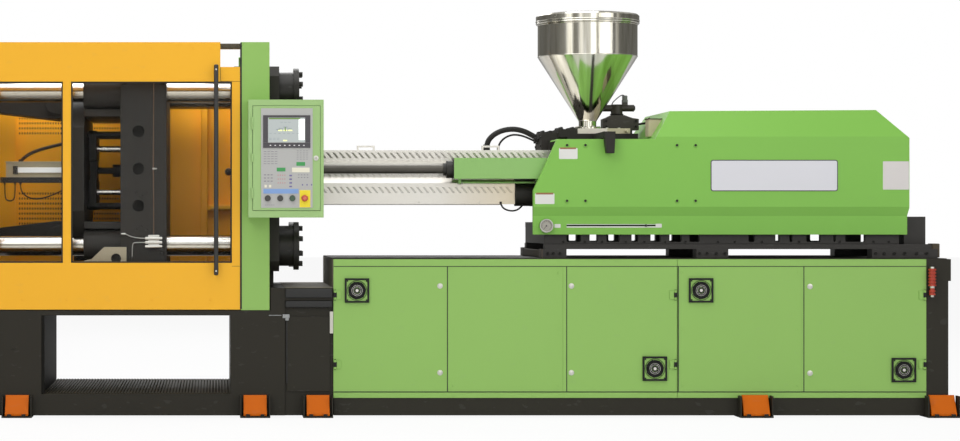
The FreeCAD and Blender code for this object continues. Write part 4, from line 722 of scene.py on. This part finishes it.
holed = Finish("perforated_yellow", Specular_IOR_Level=0.4)
x_mm, _, z_mm = holed.millimetres()
hole = (lattice(x_mm, 16.5) < 4.2) * (lattice(z_mm, 32.0) < 6.5)
field_x = (x_mm > -2090) * (x_mm < -1405)
field_low = (z_mm > 1080) * (z_mm < 1330)
field_high = (z_mm > 1685) * (z_mm < 1795)
hole = hole * field_x * (field_low + field_high)
drift = holed.noise(0.9, 3)
sheet_tone = holed.blend(drift, (0.90, 0.38, 0.010), (0.98, 0.45, 0.014))
holed.feed("Base Color", holed.blend(hole, sheet_tone, (0.045, 0.022, 0.006)))
holed.feed("Roughness", 0.38 + 0.12 * drift + 0.2 * hole)
holed.relief(holed.noise(650, 1) * 0.3 - hole * 2.0, 0.35, 0.0006, 0.003)
dress(holed, "rear_gate", "tail_guard")

glazing = Finish("clear_sheet", Base_Color=(0.97, 0.98, 0.97), Roughness=0.06, IOR=1.46,
                 Transmission_Weight=1.0)
glazing.feed("Alpha", 0.06 + 0.02 * glazing.noise(3, 4))
glazing.relief(glazing.noise(2.5, 1), 0.02, 0.001)
dress(glazing, "gate_panes")
for west, east in ((-2150, -1715), (-1668, -734)):
    border((west, east), (-694, -680), (894, 1946), 9, 2)
fit("pane_seals", seal_and_shade_black, "gate_front")

bar_black = grained("handle_black", (0.020, 0.019, 0.018), (0.36, 0.2, 40, 4), (900, 2), 0.25, 0.0003)
slab((-838.5, -812.5), (-755.5, -736.5), (823, 2043), 8, 4)
for z in (836, 2002):
    slab((-835, -816), (-738, -703), (z - 2, z + 26), 4, 3)
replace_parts(fit("pull_bar", bar_black, "gate_front", True), "gate_handle")
row(disc, "front", -825.5, -755.5, (848, 2014), 5, 2, 0.8, 20)
fit("pull_pins", bright, "gate_front", True)
for x, z in (((-801, -687), (1946.4, 1948.4)), ((-801, -799), (1946, 2031))):
    slab(x, (-703.5, -702.5), z)
slab((-734, -687), (-703.5, -702.5), (874, 876))
fit("gate_seams", seal_and_shade_black, "gate_front")
row(screw_head, "front", (-2190, -1950, -1692, -1440, -1200, -960, -860), FRONT, (680, 2140), 6, 2.5)
fit("gate_screws", gate_yellow, "gate_front")

rust_brown = painted("bracket_brown", (0.075, 0.060, 0.038), 0.5, 0.4, 0.2, 0.1, gloss=0.25)
slab((-801, -687), (-700, -664), (2137, 2167), 2)
slab((-790, -700), (-702, -699), (2144, 2160), 1)
row(screw_head, "front", (-784, -746, -706), -702, 2152, 5, 3)
fit("track_bracket", rust_brown)
# A black strip between the gate and the column: painted shade in the gap between them.
slab((-686.5, -676.5), (-705, -699), (626, 2172), 1)
fit("column_gap_shade_strip", seal_and_shade_black)
slab((-862, -690), (655, 668), (1212, 1236), 2)
slab((-924, -918), (658, 664), (640, 2120), 1)
slab((-886, -880), (658, 664), (640, 2120), 1)
fit("rear_stiffeners", gate_yellow, "gate_rear")
disc("front", (-746, 662, 1449), 12, 14, 2)
disc("front", (-746, 648, 1449), 24, 16, 6, 32)
fit("rear_knob", bar_black, "gate_rear", True)


# ---- Control box: folded steel in a pale green coat. A rubber seal runs round its door, which
# ---- carries a membrane keypad, a colour screen in a dark frame and four control heads.

box_green = painted("box_green", (0.338, 0.526, 0.206), 0.42, 0.35, 0.04, 0.03)
dress(box_green, "control_box", "control_door")
for x, z in (((-619, -615.5), (1194, 1802)), ((-228.5, -225), (1194, 1802)),
             ((-615.5, -228.5), (1194, 1198)), ((-615.5, -228.5), (1798.5, 1802))):
    slab(x, (-847, -835), z, 0.8)
# A dark ring round the box's foot on the column: painted shade where the box meets the column.
border((-625, -219), (-712, -704), (1188, 1808), 6, 1)
fit("door_seal_and_shade_ring", seal_and_shade_black)
disc("front", (-252.5, -852, 1498), 15, 4, 1.2, 40)
disc("front", (-252.5, -856, 1498), 10.5, 1.5, 0.8, 32)
fit("door_lock", bright, "panel_door", True)
# A near-black plate on the lock: painted shade in the keyway.
slab((-254, -251), (-858, -857), (1492, 1504), 0.4)
fit("lock_keyway", rotor_and_shade_black, "panel_door")
row(disc, "up", -618, -854, (1266, 1476, 1686), 6, 48, 1, 20)
fit("box_hinges", box_green, "panel_door", True)

keypad = grained("keypad_grey", (0.455, 0.455, 0.44), (0.40, 0.10, 30, 3), (2600, 2), 0.10, 0.0002,
                 0.0008, Specular_IOR_Level=0.4)
dress(keypad, "control_panel")


def plain(name, color, roughness, **more):
    """A moulded or printed surface of one colour, with a slight grain and uneven gloss."""
    return grained(name, color, (roughness, 0.12, 90, 3), (1800, 2), 0.12, 0.0002, **more)


INKS = {name: plain(f"ink_{name}", color, roughness) for name, color, roughness in (
    ("dark", (0.060, 0.055, 0.062), 0.35), ("grey", (0.22, 0.21, 0.24), 0.5),
    ("green", (0.055, 0.32, 0.090), 0.5), ("violet", (0.16, 0.14, 0.32), 0.5),
    ("pink", (0.52, 0.26, 0.26), 0.5), ("cream", (0.80, 0.77, 0.62), 0.5),
    ("blue", (0.22, 0.36, 0.66), 0.5), ("yellow", (0.90, 0.74, 0.030), 0.42),
    ("white", (0.78, 0.76, 0.78), 0.45))}
stop_red = plain("stop_red", (0.50, 0.050, 0.020), 0.28, Coat_Weight=0.4)
cap_black = plain("cap_black", (0.016, 0.015, 0.014), 0.25, Coat_Weight=0.4)
cap_green = plain("cap_green", (0.016, 0.060, 0.025), 0.28, Coat_Weight=0.4)
dress(cap_black, "button_start", "button_stop")
dress(cap_green, "button_reset")
dress(stop_red, "emergency_stop")


KEYPAD = -855.0  # the keypad's face, from which bezel and screen stand off
BEZEL = -859.0
SCREEN = -856.8


def lines(x, z, columns, rows, pitch):
    """Places of keys in rows and columns, from the top left one."""
    return [(x + pitch[0] * column, z - pitch[1] * row) for row in range(rows) for column in range(columns)]


def key_field(name, finish, middles, size, face=KEYPAD, rise=0.7):
    """Printed or raised keys of one colour, each a rounded plate on the keypad."""
    half_x, half_z = size[0] / 2, size[1] / 2
    for x, z in middles:
        slab((x - half_x, x + half_x), (face - rise, face), (z - half_z, z + half_z), 0.35)
    fit(name, finish, "panel_door")


for name, ink, *field in (
    ("bezel_frame", "dark", [(-420.8, 1737.5)], (271.5, 13), BEZEL),
    ("bezel_foot", "dark", [(-420.8, 1571.5)], (271.5, 30), BEZEL),
    ("bezel_left", "dark", [(-542.5, 1659)], (28, 144), BEZEL),
    ("bezel_right", "dark", [(-299.8, 1659)], (29, 144), BEZEL),
    ("screen_keys", "white", lines(-514, 1571, 8, 1, (27.4, 0)), (9, 5), BEZEL - 0.7),
    ("text_left", "grey", lines(-545, 1536, 4, 6, (21, 14)), (15, 3)),
    ("text_right", "grey", lines(-358, 1540, 4, 5, (18, 12)), (10, 2.6)),
    ("text_mid", "pink", lines(-470, 1400, 4, 3, (13, 22)), (5, 8)),
    ("text_small", "violet", lines(-398, 1398, 1, 4, (0, 21)), (15, 9)),
    ("text_low", "grey", lines(-545, 1402, 3, 3, (19, 18)), (12, 5)),
    ("text_far", "grey", lines(-352, 1402, 4, 2, (17, 15)), (9, 4)),
    ("label_foot", "grey", lines(-541, 1229, 5, 1, (11, 0)), (8, 3)),
    ("key_green", "green", [(-340, 1464.7), (-453, 1432.5)], (50, 22)),
    ("key_arrow", "violet", lines(-330, 1345, 3, 1, (26, 0)), (7, 9)),
    ("key_cream", "cream", [(-541.7, 1337), (-516, 1337)], (13, 15)),
    ("name_plate", "cream", [(-340, 1430)], (101, 27), KEYPAD, 1.2),
    ("blue_band", "blue", [(-454, 1308)], (202, 27)),
    ("stop_plate", "yellow", [(-316, 1264.8)], (62, 99), KEYPAD, 1.0),
):
    key_field(name, INKS[ink], *field)


def lit(name, color, strength, base=None, rough=0.3):
    """Glowing glass or screen ink."""
    made = grained(name, base or color, rough, (1500, 2), 0.05, 0.0001)
    made.feed("Emission Color", color)
    made.feed("Emission Strength", strength)
    return made


screen = lit("screen_lit", (0.52, 0.57, 0.56), 0.85, (0.02, 0.02, 0.02), 0.18)
slab((-527, -316), (SCREEN, -856), (1589, 1730), 0.2)
fit("screen_glass", screen, "panel_door")
lit_green = lit("screen_green", (0.10, 0.19, 0.035), 0.5)
lit_grey = lit("screen_grey", (0.20, 0.23, 0.24), 0.6)
lit_yellow = lit("screen_yellow", (0.72, 0.76, 0.30), 0.8)
lit_white = lit("screen_white", (0.80, 0.84, 0.80), 0.9)
for name, finish, middles, size, face in (
    ("screen_title", lit_green, [(-433, 1725)], (180, 8), SCREEN),
    ("screen_side", lit_white, [(-335, 1662)], (34, 120), SCREEN),
    ("screen_table", lit_grey, lines(-514, 1640, 8, 1, (26, 0)) + lines(-450, 1703, 3, 1, (22, 0))
     + lines(-514, 1612, 3, 2, (22, 8)), (14, 3), SCREEN - 0.2),
    ("screen_machine", lit_grey, [(-455, 1668), (-405, 1668), (-470, 1662), (-428, 1676)], (24, 6),
     SCREEN - 0.2),
    ("screen_plot", lit_yellow, [(-458, 1657), (-400, 1657), (-428, 1657), (-430, 1599)], (22, 7),
     SCREEN - 0.2),
    ("screen_bar", lit_green, [(-429, 1664)], (6, 22), SCREEN - 0.4),
):
    key_field(name, finish, middles, size, face, 0.2)

row(disc, "front", (-529.6, -457.9, -387.9), KEYPAD, 1267.4, 17.5, 4.5, 1.2, 40)
fit("button_collars", cap_black, "panel_door", True)
disc("front", (-317.9, -885, 1267.4), 10, 0.5, 0.2, 40)
fit("stop_mark", plain("stop_pale", (0.62, 0.16, 0.10), 0.4), "mushroom_stop")


# ---- Injection carriage: black painted castings on two rails. Brown brackets close the bed's
# ---- ends, and socket screws hold rails and blocks down.

rail_black = painted("rail_black", (0.030, 0.027, 0.024), 0.42, 0.35, 0.12, 0.2)
along = rail_black.millimetres()[0]
rail_black.feed("Base Color", rail_black.blend(along < 1100, rail_black.tone, (0.070, 0.054, 0.040)))
dress(rail_black, "guide_rails", "carriage_frame")
slab((1092, 1114), (-470, 470), (924, 966), 3)
slab((3396, 3440), (-478, -382), (922, 1004), 4)
slab((3396, 3440), (382, 478), (922, 1004), 4)
fit("end_brackets", rust_brown)
for facing, side in (("front", -485), ("back", 485)):
    row(screw_head, facing, (1128, 1160, 1200, 2022, 2066, 2120, 2172, 3060, 3110, 3170, 3230, 3300,
                             3360), side, 945, 9, 7)
fit("rail_screws", bolt_black)
for facing, side in (("front", -440), ("back", 440)):
    row(screw_head, facing, (1226, 1355, 1455, 1594, 1705, 1828, 1948, 2140, 2240, 2400, 2620, 2860,
                             3060, 3150), side, (1014, 1106), 7, 4)
fit("carriage_screws", bolt_black, "carriage")


# ---- Barrel guard: thin stainless sheet folded in steps, with pressed louvres that let the
# ---- heat out. Green covers hide the carriage cylinders beside it.

stainless = Finish("guard_stainless", Metallic=0.92)
grain = stainless.noise(700, 2, (0.03, 1, 1))
haze = stainless.noise(2.2, 4)
along, _, rise = stainless.split(stainless.here())
heated = stainless.node("MapRange", {}, along, From_Min=0.50, From_Max=0.95, To_Max=0.7)
heated = heated * (rise < 1.47)
clean = stainless.blend(haze, (0.60, 0.58, 0.535), (0.74, 0.72, 0.68))
stainless.feed("Base Color", stainless.blend(heated, clean, (0.60, 0.50, 0.34)))
stainless.feed("Roughness", 0.30 + 0.10 * grain + 0.10 * haze)
stainless.relief(grain, 0.10, 0.0002, 0.001)
dress(stainless, "barrel_guard")
for outward in (-1, 1):
    for out, bottom, top, lean, count in (
        (253, 1514, 1545, 27, 41), (300, 1405, 1423, 16, 35), (342, 1306, 1338, 27, 35),
    ):
        for k in range(count):
            x = -391 + 38 * k
            side = outward * out
            crest = outward * (out + 5)
            a, b, c, d, e, f = (work.verts.new(at(*corner)) for corner in (
                (x + lean - 5, side, bottom - 2), (x + lean + 9, crest, bottom + 1),
                (x + 9, crest, top + 1), (x - 5, side, top + 3),
                (x + lean + 6, side, bottom - 2), (x + 10, side, top + 3)))
            for corners in ((a, b, c, d), (a, e, b), (d, c, f)):
                work.faces.new(corners)
bmesh.ops.recalc_face_normals(work, faces=work.faces)
bmesh.ops.solidify(work, geom=list(work.faces), thickness=0.0012)
fit("louvre_hoods", stainless, "carriage")
for facing, side in (("front", -1), ("back", 1)):
    row(screw_head, facing, (-360, 10, 380, 740), side * 253, 1552, 4, 2.2)
    row(screw_head, facing, (-360, 10, 380, 740), side * 342, 1248, 4, 2.2)
fit("guard_screws", bright, "carriage")

cylinder_green = painted("cylinder_green", (0.27, 0.50, 0.15), 0.40, 0.3, 0.06, 0.05)
along = cylinder_green.millimetres()[0]
cylinder_green.feed("Base Color", cylinder_green.blend(
    along < 580, cylinder_green.tone, (0.018, 0.016, 0.013)))
dress(cylinder_green, "carriage_cylinders")
row(disc, "right", (614, 1062), (-365, 365), 1366, 12, 26, 1.5, 6)
fit("pipe_nuts", bright, "carriage")


# ---- Bar nuts: eight cap screws clamp each tie bar's flanged nut to the back of the fixed platen.

for side in (-BAR_OUT, BAR_OUT):
    for z in (AXIS_HEIGHT - BAR_OUT, AXIS_HEIGHT + BAR_OUT):
        for u, v in polar(8, 112, 22.5):
            screw_head("right", (-339, side + u, z + v), 15, 22)
fit("nut_bolts", bolt_black)


# ---- Injection cover: folded steel sheet in the same green, screwed to a frame inside. A gauge,
# ---- a stroke scale and bare plates sit on it.

cover_green = painted("cover_green", (0.224, 0.505, 0.084), 0.38, 0.25, 0.035, 0.02, gloss=0.32)
dress(cover_green, "injection_cover")
COVER = -503  # the front faces of the cover's upper and lower parts
LOW_COVER = -484
COVER_SCREWS = (1239, 1347, 1886, 1995)
for facing, side in (("front", COVER), ("back", -COVER)):
    row(disc, facing, COVER_SCREWS, side, (1256, 1583), 15, 1.2, 1.0, 32)
fit("cover_dimples", cover_green, "carriage", True)
for facing, side in (("front", COVER - 1.2), ("back", 1.2 - COVER)):
    row(screw_head, facing, COVER_SCREWS, side, (1256, 1583), 7.5, 4)
fit("cover_screws", bolt_black, "carriage")


def sign(name, finish, x, z, face, rise, corner):
    """A thin plate with rounded corners on a face that looks to the front."""
    outline = []
    for middle, start in (((x[1] - corner, z[1] - corner), 0), ((x[0] + corner, z[1] - corner), 90),
                          ((x[0] + corner, z[0] + corner), 180), ((x[1] - corner, z[0] + corner), 270)):
        for u, v in polar(16, corner, start)[:5]:
            outline.append(work.verts.new(at(middle[0] + u, face, middle[1] + v)))
    grown = bmesh.ops.extrude_face_region(work, geom=[work.faces.new(outline)])["geom"]
    lifted = [v for v in grown if isinstance(v, bmesh.types.BMVert)]
    bmesh.ops.translate(work, verts=lifted, vec=(0, -rise / 1000, 0))
    bmesh.ops.recalc_face_normals(work, faces=work.faces)
    fit(name, finish, "carriage")


label_white = plain("label_white", (0.74, 0.73, 0.70), 0.5)
label_brown = plain("label_brown", (0.30, 0.14, 0.06), 0.5)
for plate in (
    ("plate_edge", INKS["dark"], (2084, 2833), (1312, 1497), COVER, 1.5, 14),
    ("plate_field", plain("plate_white", (0.70, 0.695, 0.74), 0.42), (2089.5, 2827.5),
     (1317.5, 1491.5), COVER - 1.5, 0.5, 10),
    ("square_plate", plain("plate_pale", (0.68, 0.645, 0.63), 0.5), (3098, 3251), (1322, 1488),
     COVER, 1.0, 3),
    ("label_high", label_white, (1192, 1301), (1502, 1566), COVER, 0.4, 4),
    ("label_high_band", label_brown, (1198, 1292), (1560, 1570), COVER, 0.5, 1),
    ("label_low", label_white, (1051, 1165), (1237, 1299), COVER, 0.4, 4),
    ("label_low_band", label_brown, (1057, 1158), (1293, 1304), COVER, 0.5, 1),
    ("scale_low", label_white, (1239, 1792), (1098.5, 1105.5), LOW_COVER, 0.4, 1),
    ("scale_high", label_white, (1239, 1792), (1115.5, 1118.5), LOW_COVER, 0.4, 1),
    ("scale_end", label_white, (1764, 1800), (1098, 1121), LOW_COVER, 1.2, 3),
    ("gauge_tag", label_white, (1168, 1204), (1097, 1119), LOW_COVER, 0.5, 3),
):
    sign(*plate)

GAUGE_X, GAUGE_Z = 1118, 1109
turned("front", (GAUGE_X, -509, GAUGE_Z), (
    (32.5, -4), (33, 2.2), (36, 3.2), (39.5, 2.4), (41, -1), (41, -8), (39.1, -8), (39.1, -4)), 56)
fit("gauge_rim", ground, "carriage", True)
disc("front", (GAUGE_X, -501, GAUGE_Z), 33.8, 3, 0.6, 48)
fit("gauge_face", plain("gauge_pale", (0.40, 0.38, 0.33), 0.5), "carriage", True)
disc("front", (GAUGE_X, -504, GAUGE_Z), 4.5, 1.6, 0.6, 24)
blade((GAUGE_X - 7, -504.8, GAUGE_Z - 9), radians(-52), (0.030, 0.0008, 0.0022))
for step in range(11):
    angle = radians(-45 + 27 * step)
    blade((GAUGE_X + 27 * cos(angle), -504.2, GAUGE_Z + 27 * sin(angle)), -angle,
          (0.006, 0.0006, 0.0016))
fit("gauge_hand", INKS["dark"], "carriage")

slab((1699, 1713), (-487.5, -485.5), (1103.5, 1117.5), 0.8)
slab((1703, 1709), (-492.5, -485), (1107.8, 1113.2))
fit("stroke_pointer", cap_black, "thrust")


# ---- Manifold and hoses: a black steel block with turned plugs takes oil from two crimped
# ---- rubber hoses, and a third drains along the guard.

dull_black = painted("fitting_black", (0.015, 0.014, 0.012), 0.42, 0.3, 0.2, 0.1, 0.0, 0.3)
SPACING = (-112, -40, 60, 118)
for places, top in (((1152, 1196), 1670), ((1262, 1330), 1692)):
    row(disc, "up", places, SPACING, top, 13, 5, 1, 6)
    row(disc, "up", places, SPACING, top + 5, 9, 9, 2, 24, 8)
row(screw_head, "left", 1138, (-118, 118), (1590, 1640), 8, 6)
disc("left", (1138, -8, 1636), 25, 12, 1.5, 6)
disc("left", (1126, -8, 1636), 20, 16, 2, 32)
disc("left", (1138, 40, 1618), 11, 10, 1, 6)
disc("left", (1128, 40, 1618), 8, 14, 1)
fit("manifold_plugs", dull_black, "carriage")
disc("up", (822, 0, 1561), 30, 8, 1.5, 6)
disc("up", (822, 0, 1569), 21, 34, 2, 32, 19)
disc("up", (898, 40, 1561), 13, 6, 1, 6)
disc("up", (898, 40, 1567), 8.5, 20, 1.5)
disc("down", (868, -341, 1252), 7.5, 16, 1.5)
disc("down", (1000, -330, 1246), 7.5, 16, 1.5)
fit("hose_collars", dull_black, "carriage", True)
free_hose("unit_hose_feed", (
    (822, 0, 1561), (822, 0, 1612), (856, -10, 1658), (912, -18, 1688), (980, -20, 1698),
    (1044, -17, 1686), (1096, -10, 1660), (1138, -8, 1636)), 33, "carriage", "unit_hoses")
free_hose("unit_hose_thin", (
    (898, 40, 1561), (898, 40, 1592), (914, 38, 1624), (944, 34, 1650), (984, 30, 1664),
    (1022, 30, 1662), (1060, 34, 1652), (1100, 38, 1634), (1138, 40, 1618)), 12, "carriage")
free_hose("unit_hose_drain", (
    (868, -341, 1246), (872, -352, 1220), (904, -358, 1200), (946, -354, 1196), (980, -342, 1210),
    (1000, -330, 1232)), 10, "carriage")


# ---- Hopper: rolled stainless sheet, polished to a mirror, with a lid hinged at the back. Beads
# ---- stiffen its rim, and a ring of screws holds its foot on a sliding plate.

HOPPER_X = 1437


def bead(foot, radius, wide, sides, steps=8):
    """A round bead that runs about an upright axis."""
    turned("up", foot, [(radius + u, v) for u, v in polar(steps, wide)], sides)


polished = Finish("hopper_polish", Metallic=1.0)
sheet_x, sheet_y, sheet_z = polished.split(polished.here())
round_way = sheet_y.step("ARCTAN2", sheet_y - AXIS_SIDE / 1000, sheet_x - HOPPER_X / 1000)
sheet_way = polished.node("CombineXYZ", {}, round_way, 0.0, sheet_z * 0.25)
# Upright dark and bright bands by angle round the hopper: painted reflections in the base colour.
reflection_band_noise = polished.node("TexNoise", {}, sheet_way, Scale=9.0, Detail=5.0)
brushed = polished.node("TexNoise", {}, sheet_way, Scale=60.0, Detail=2.0)
polished.feed("Base Color", polished.blend(reflection_band_noise * 1.6 - 0.3, (0.46, 0.435, 0.34), (0.86, 0.84, 0.79)))
polished.feed("Roughness", 0.05 + 0.09 * reflection_band_noise + 0.04 * brushed)
polished.relief(reflection_band_noise * 0.9 + brushed * 0.1, 0.30, 0.0016)
dress(polished, "hopper", "hopper_lid")
for z, radius, wide in ((2137, 300, 2.2), (2327, 300.5, 2.5), (2338, 308, 5)):
    bead((HOPPER_X, 0, z), radius, wide, 96)
bead((HOPPER_X, 0, 1746), 54, 3, 48)
fit("hopper_beads", polished, "hopper_slide", True)
bead((HOPPER_X, 0, 2350), 311, 4, 96)
fit("lid_bead", polished, "lid", True)
for u, v in polar(8, 70, 22.5):
    nut_head("up", (HOPPER_X + u, v, 1706), 8, 8)
row(screw_head, "up", (1540, 1612), (-100, 100), 1696, 8, 6)
fit("foot_screws", bright, "hopper_slide")
plate_tan = Finish("slide_plate")
painted_end = plate_tan.millimetres()[0] > 1536
rubbed = plate_tan.noise(30, 4, (0.3, 2, 1))
steel = plate_tan.blend(rubbed, (0.50, 0.47, 0.42), (0.66, 0.62, 0.55))
plate_tan.feed("Base Color", plate_tan.blend(painted_end, steel, (0.52, 0.47, 0.32)))
plate_tan.feed("Metallic", 0.9 - painted_end * 0.75)
plate_tan.feed("Roughness", 0.30 + 0.16 * rubbed)
plate_tan.relief(rubbed, 0.12, 0.0004, 0.0015)
dress(plate_tan, "hopper_base")

dress(painted("valve_cast", (0.052, 0.044, 0.036), 0.42, 0.5, 0.2, 0.2), "valve_block")
row(screw_head, "front", (1578, 1760), 168, (1718, 1752), 8, 5)
row(screw_head, "back", (1578, 1760), 256, (1718, 1752), 8, 5)
bead((1650, 212, 1795), 38, 4, 32, 6)
disc("left", (1566, 212, 1834), 16, 7, 2, 6)
disc("right", (1756, 212, 1834), 16, 7, 2, 6)
fit("valve_trim", dull_black, "carriage")
disc("up", (1700, 212, 1886), 16.5, 26, 3, 20)
slab((1683, 1717), (195, 229), (1868, 1886), 3)
fit("valve_plug", plain("plug_grey", (0.20, 0.205, 0.20), 0.45), "carriage", True)
pipe("valve_lead", (
    (1700, 212, 1908), (1690, 212, 1918), (1668, 212, 1908), (1640, 212, 1884), (1620, 212, 1862),
    (1618, 212, 1842)), 6, dull_black, "carriage")
pipe("valve_pipe", (
    (1768, 212, 1730), (1800, 212, 1738), (1836, 212, 1742), (1862, 212, 1730), (1874, 212, 1700),
    (1876, 212, 1640)), 14, dull_black, "carriage")
slab((1755, 1845), (-300, -190), (1640, 1745), 4)
fit("link_box", painted("link_beige", (0.60, 0.50, 0.36), 0.5, 0.3, 0.06, 0.1), "carriage")
slab((1751, 1849), (-304, -186), (1745, 1749), 1)
row(disc, "up", 1760, (-295, -195), 1749, 6, 5, 1.5, 16)
fit("link_lid", rust_brown, "carriage")
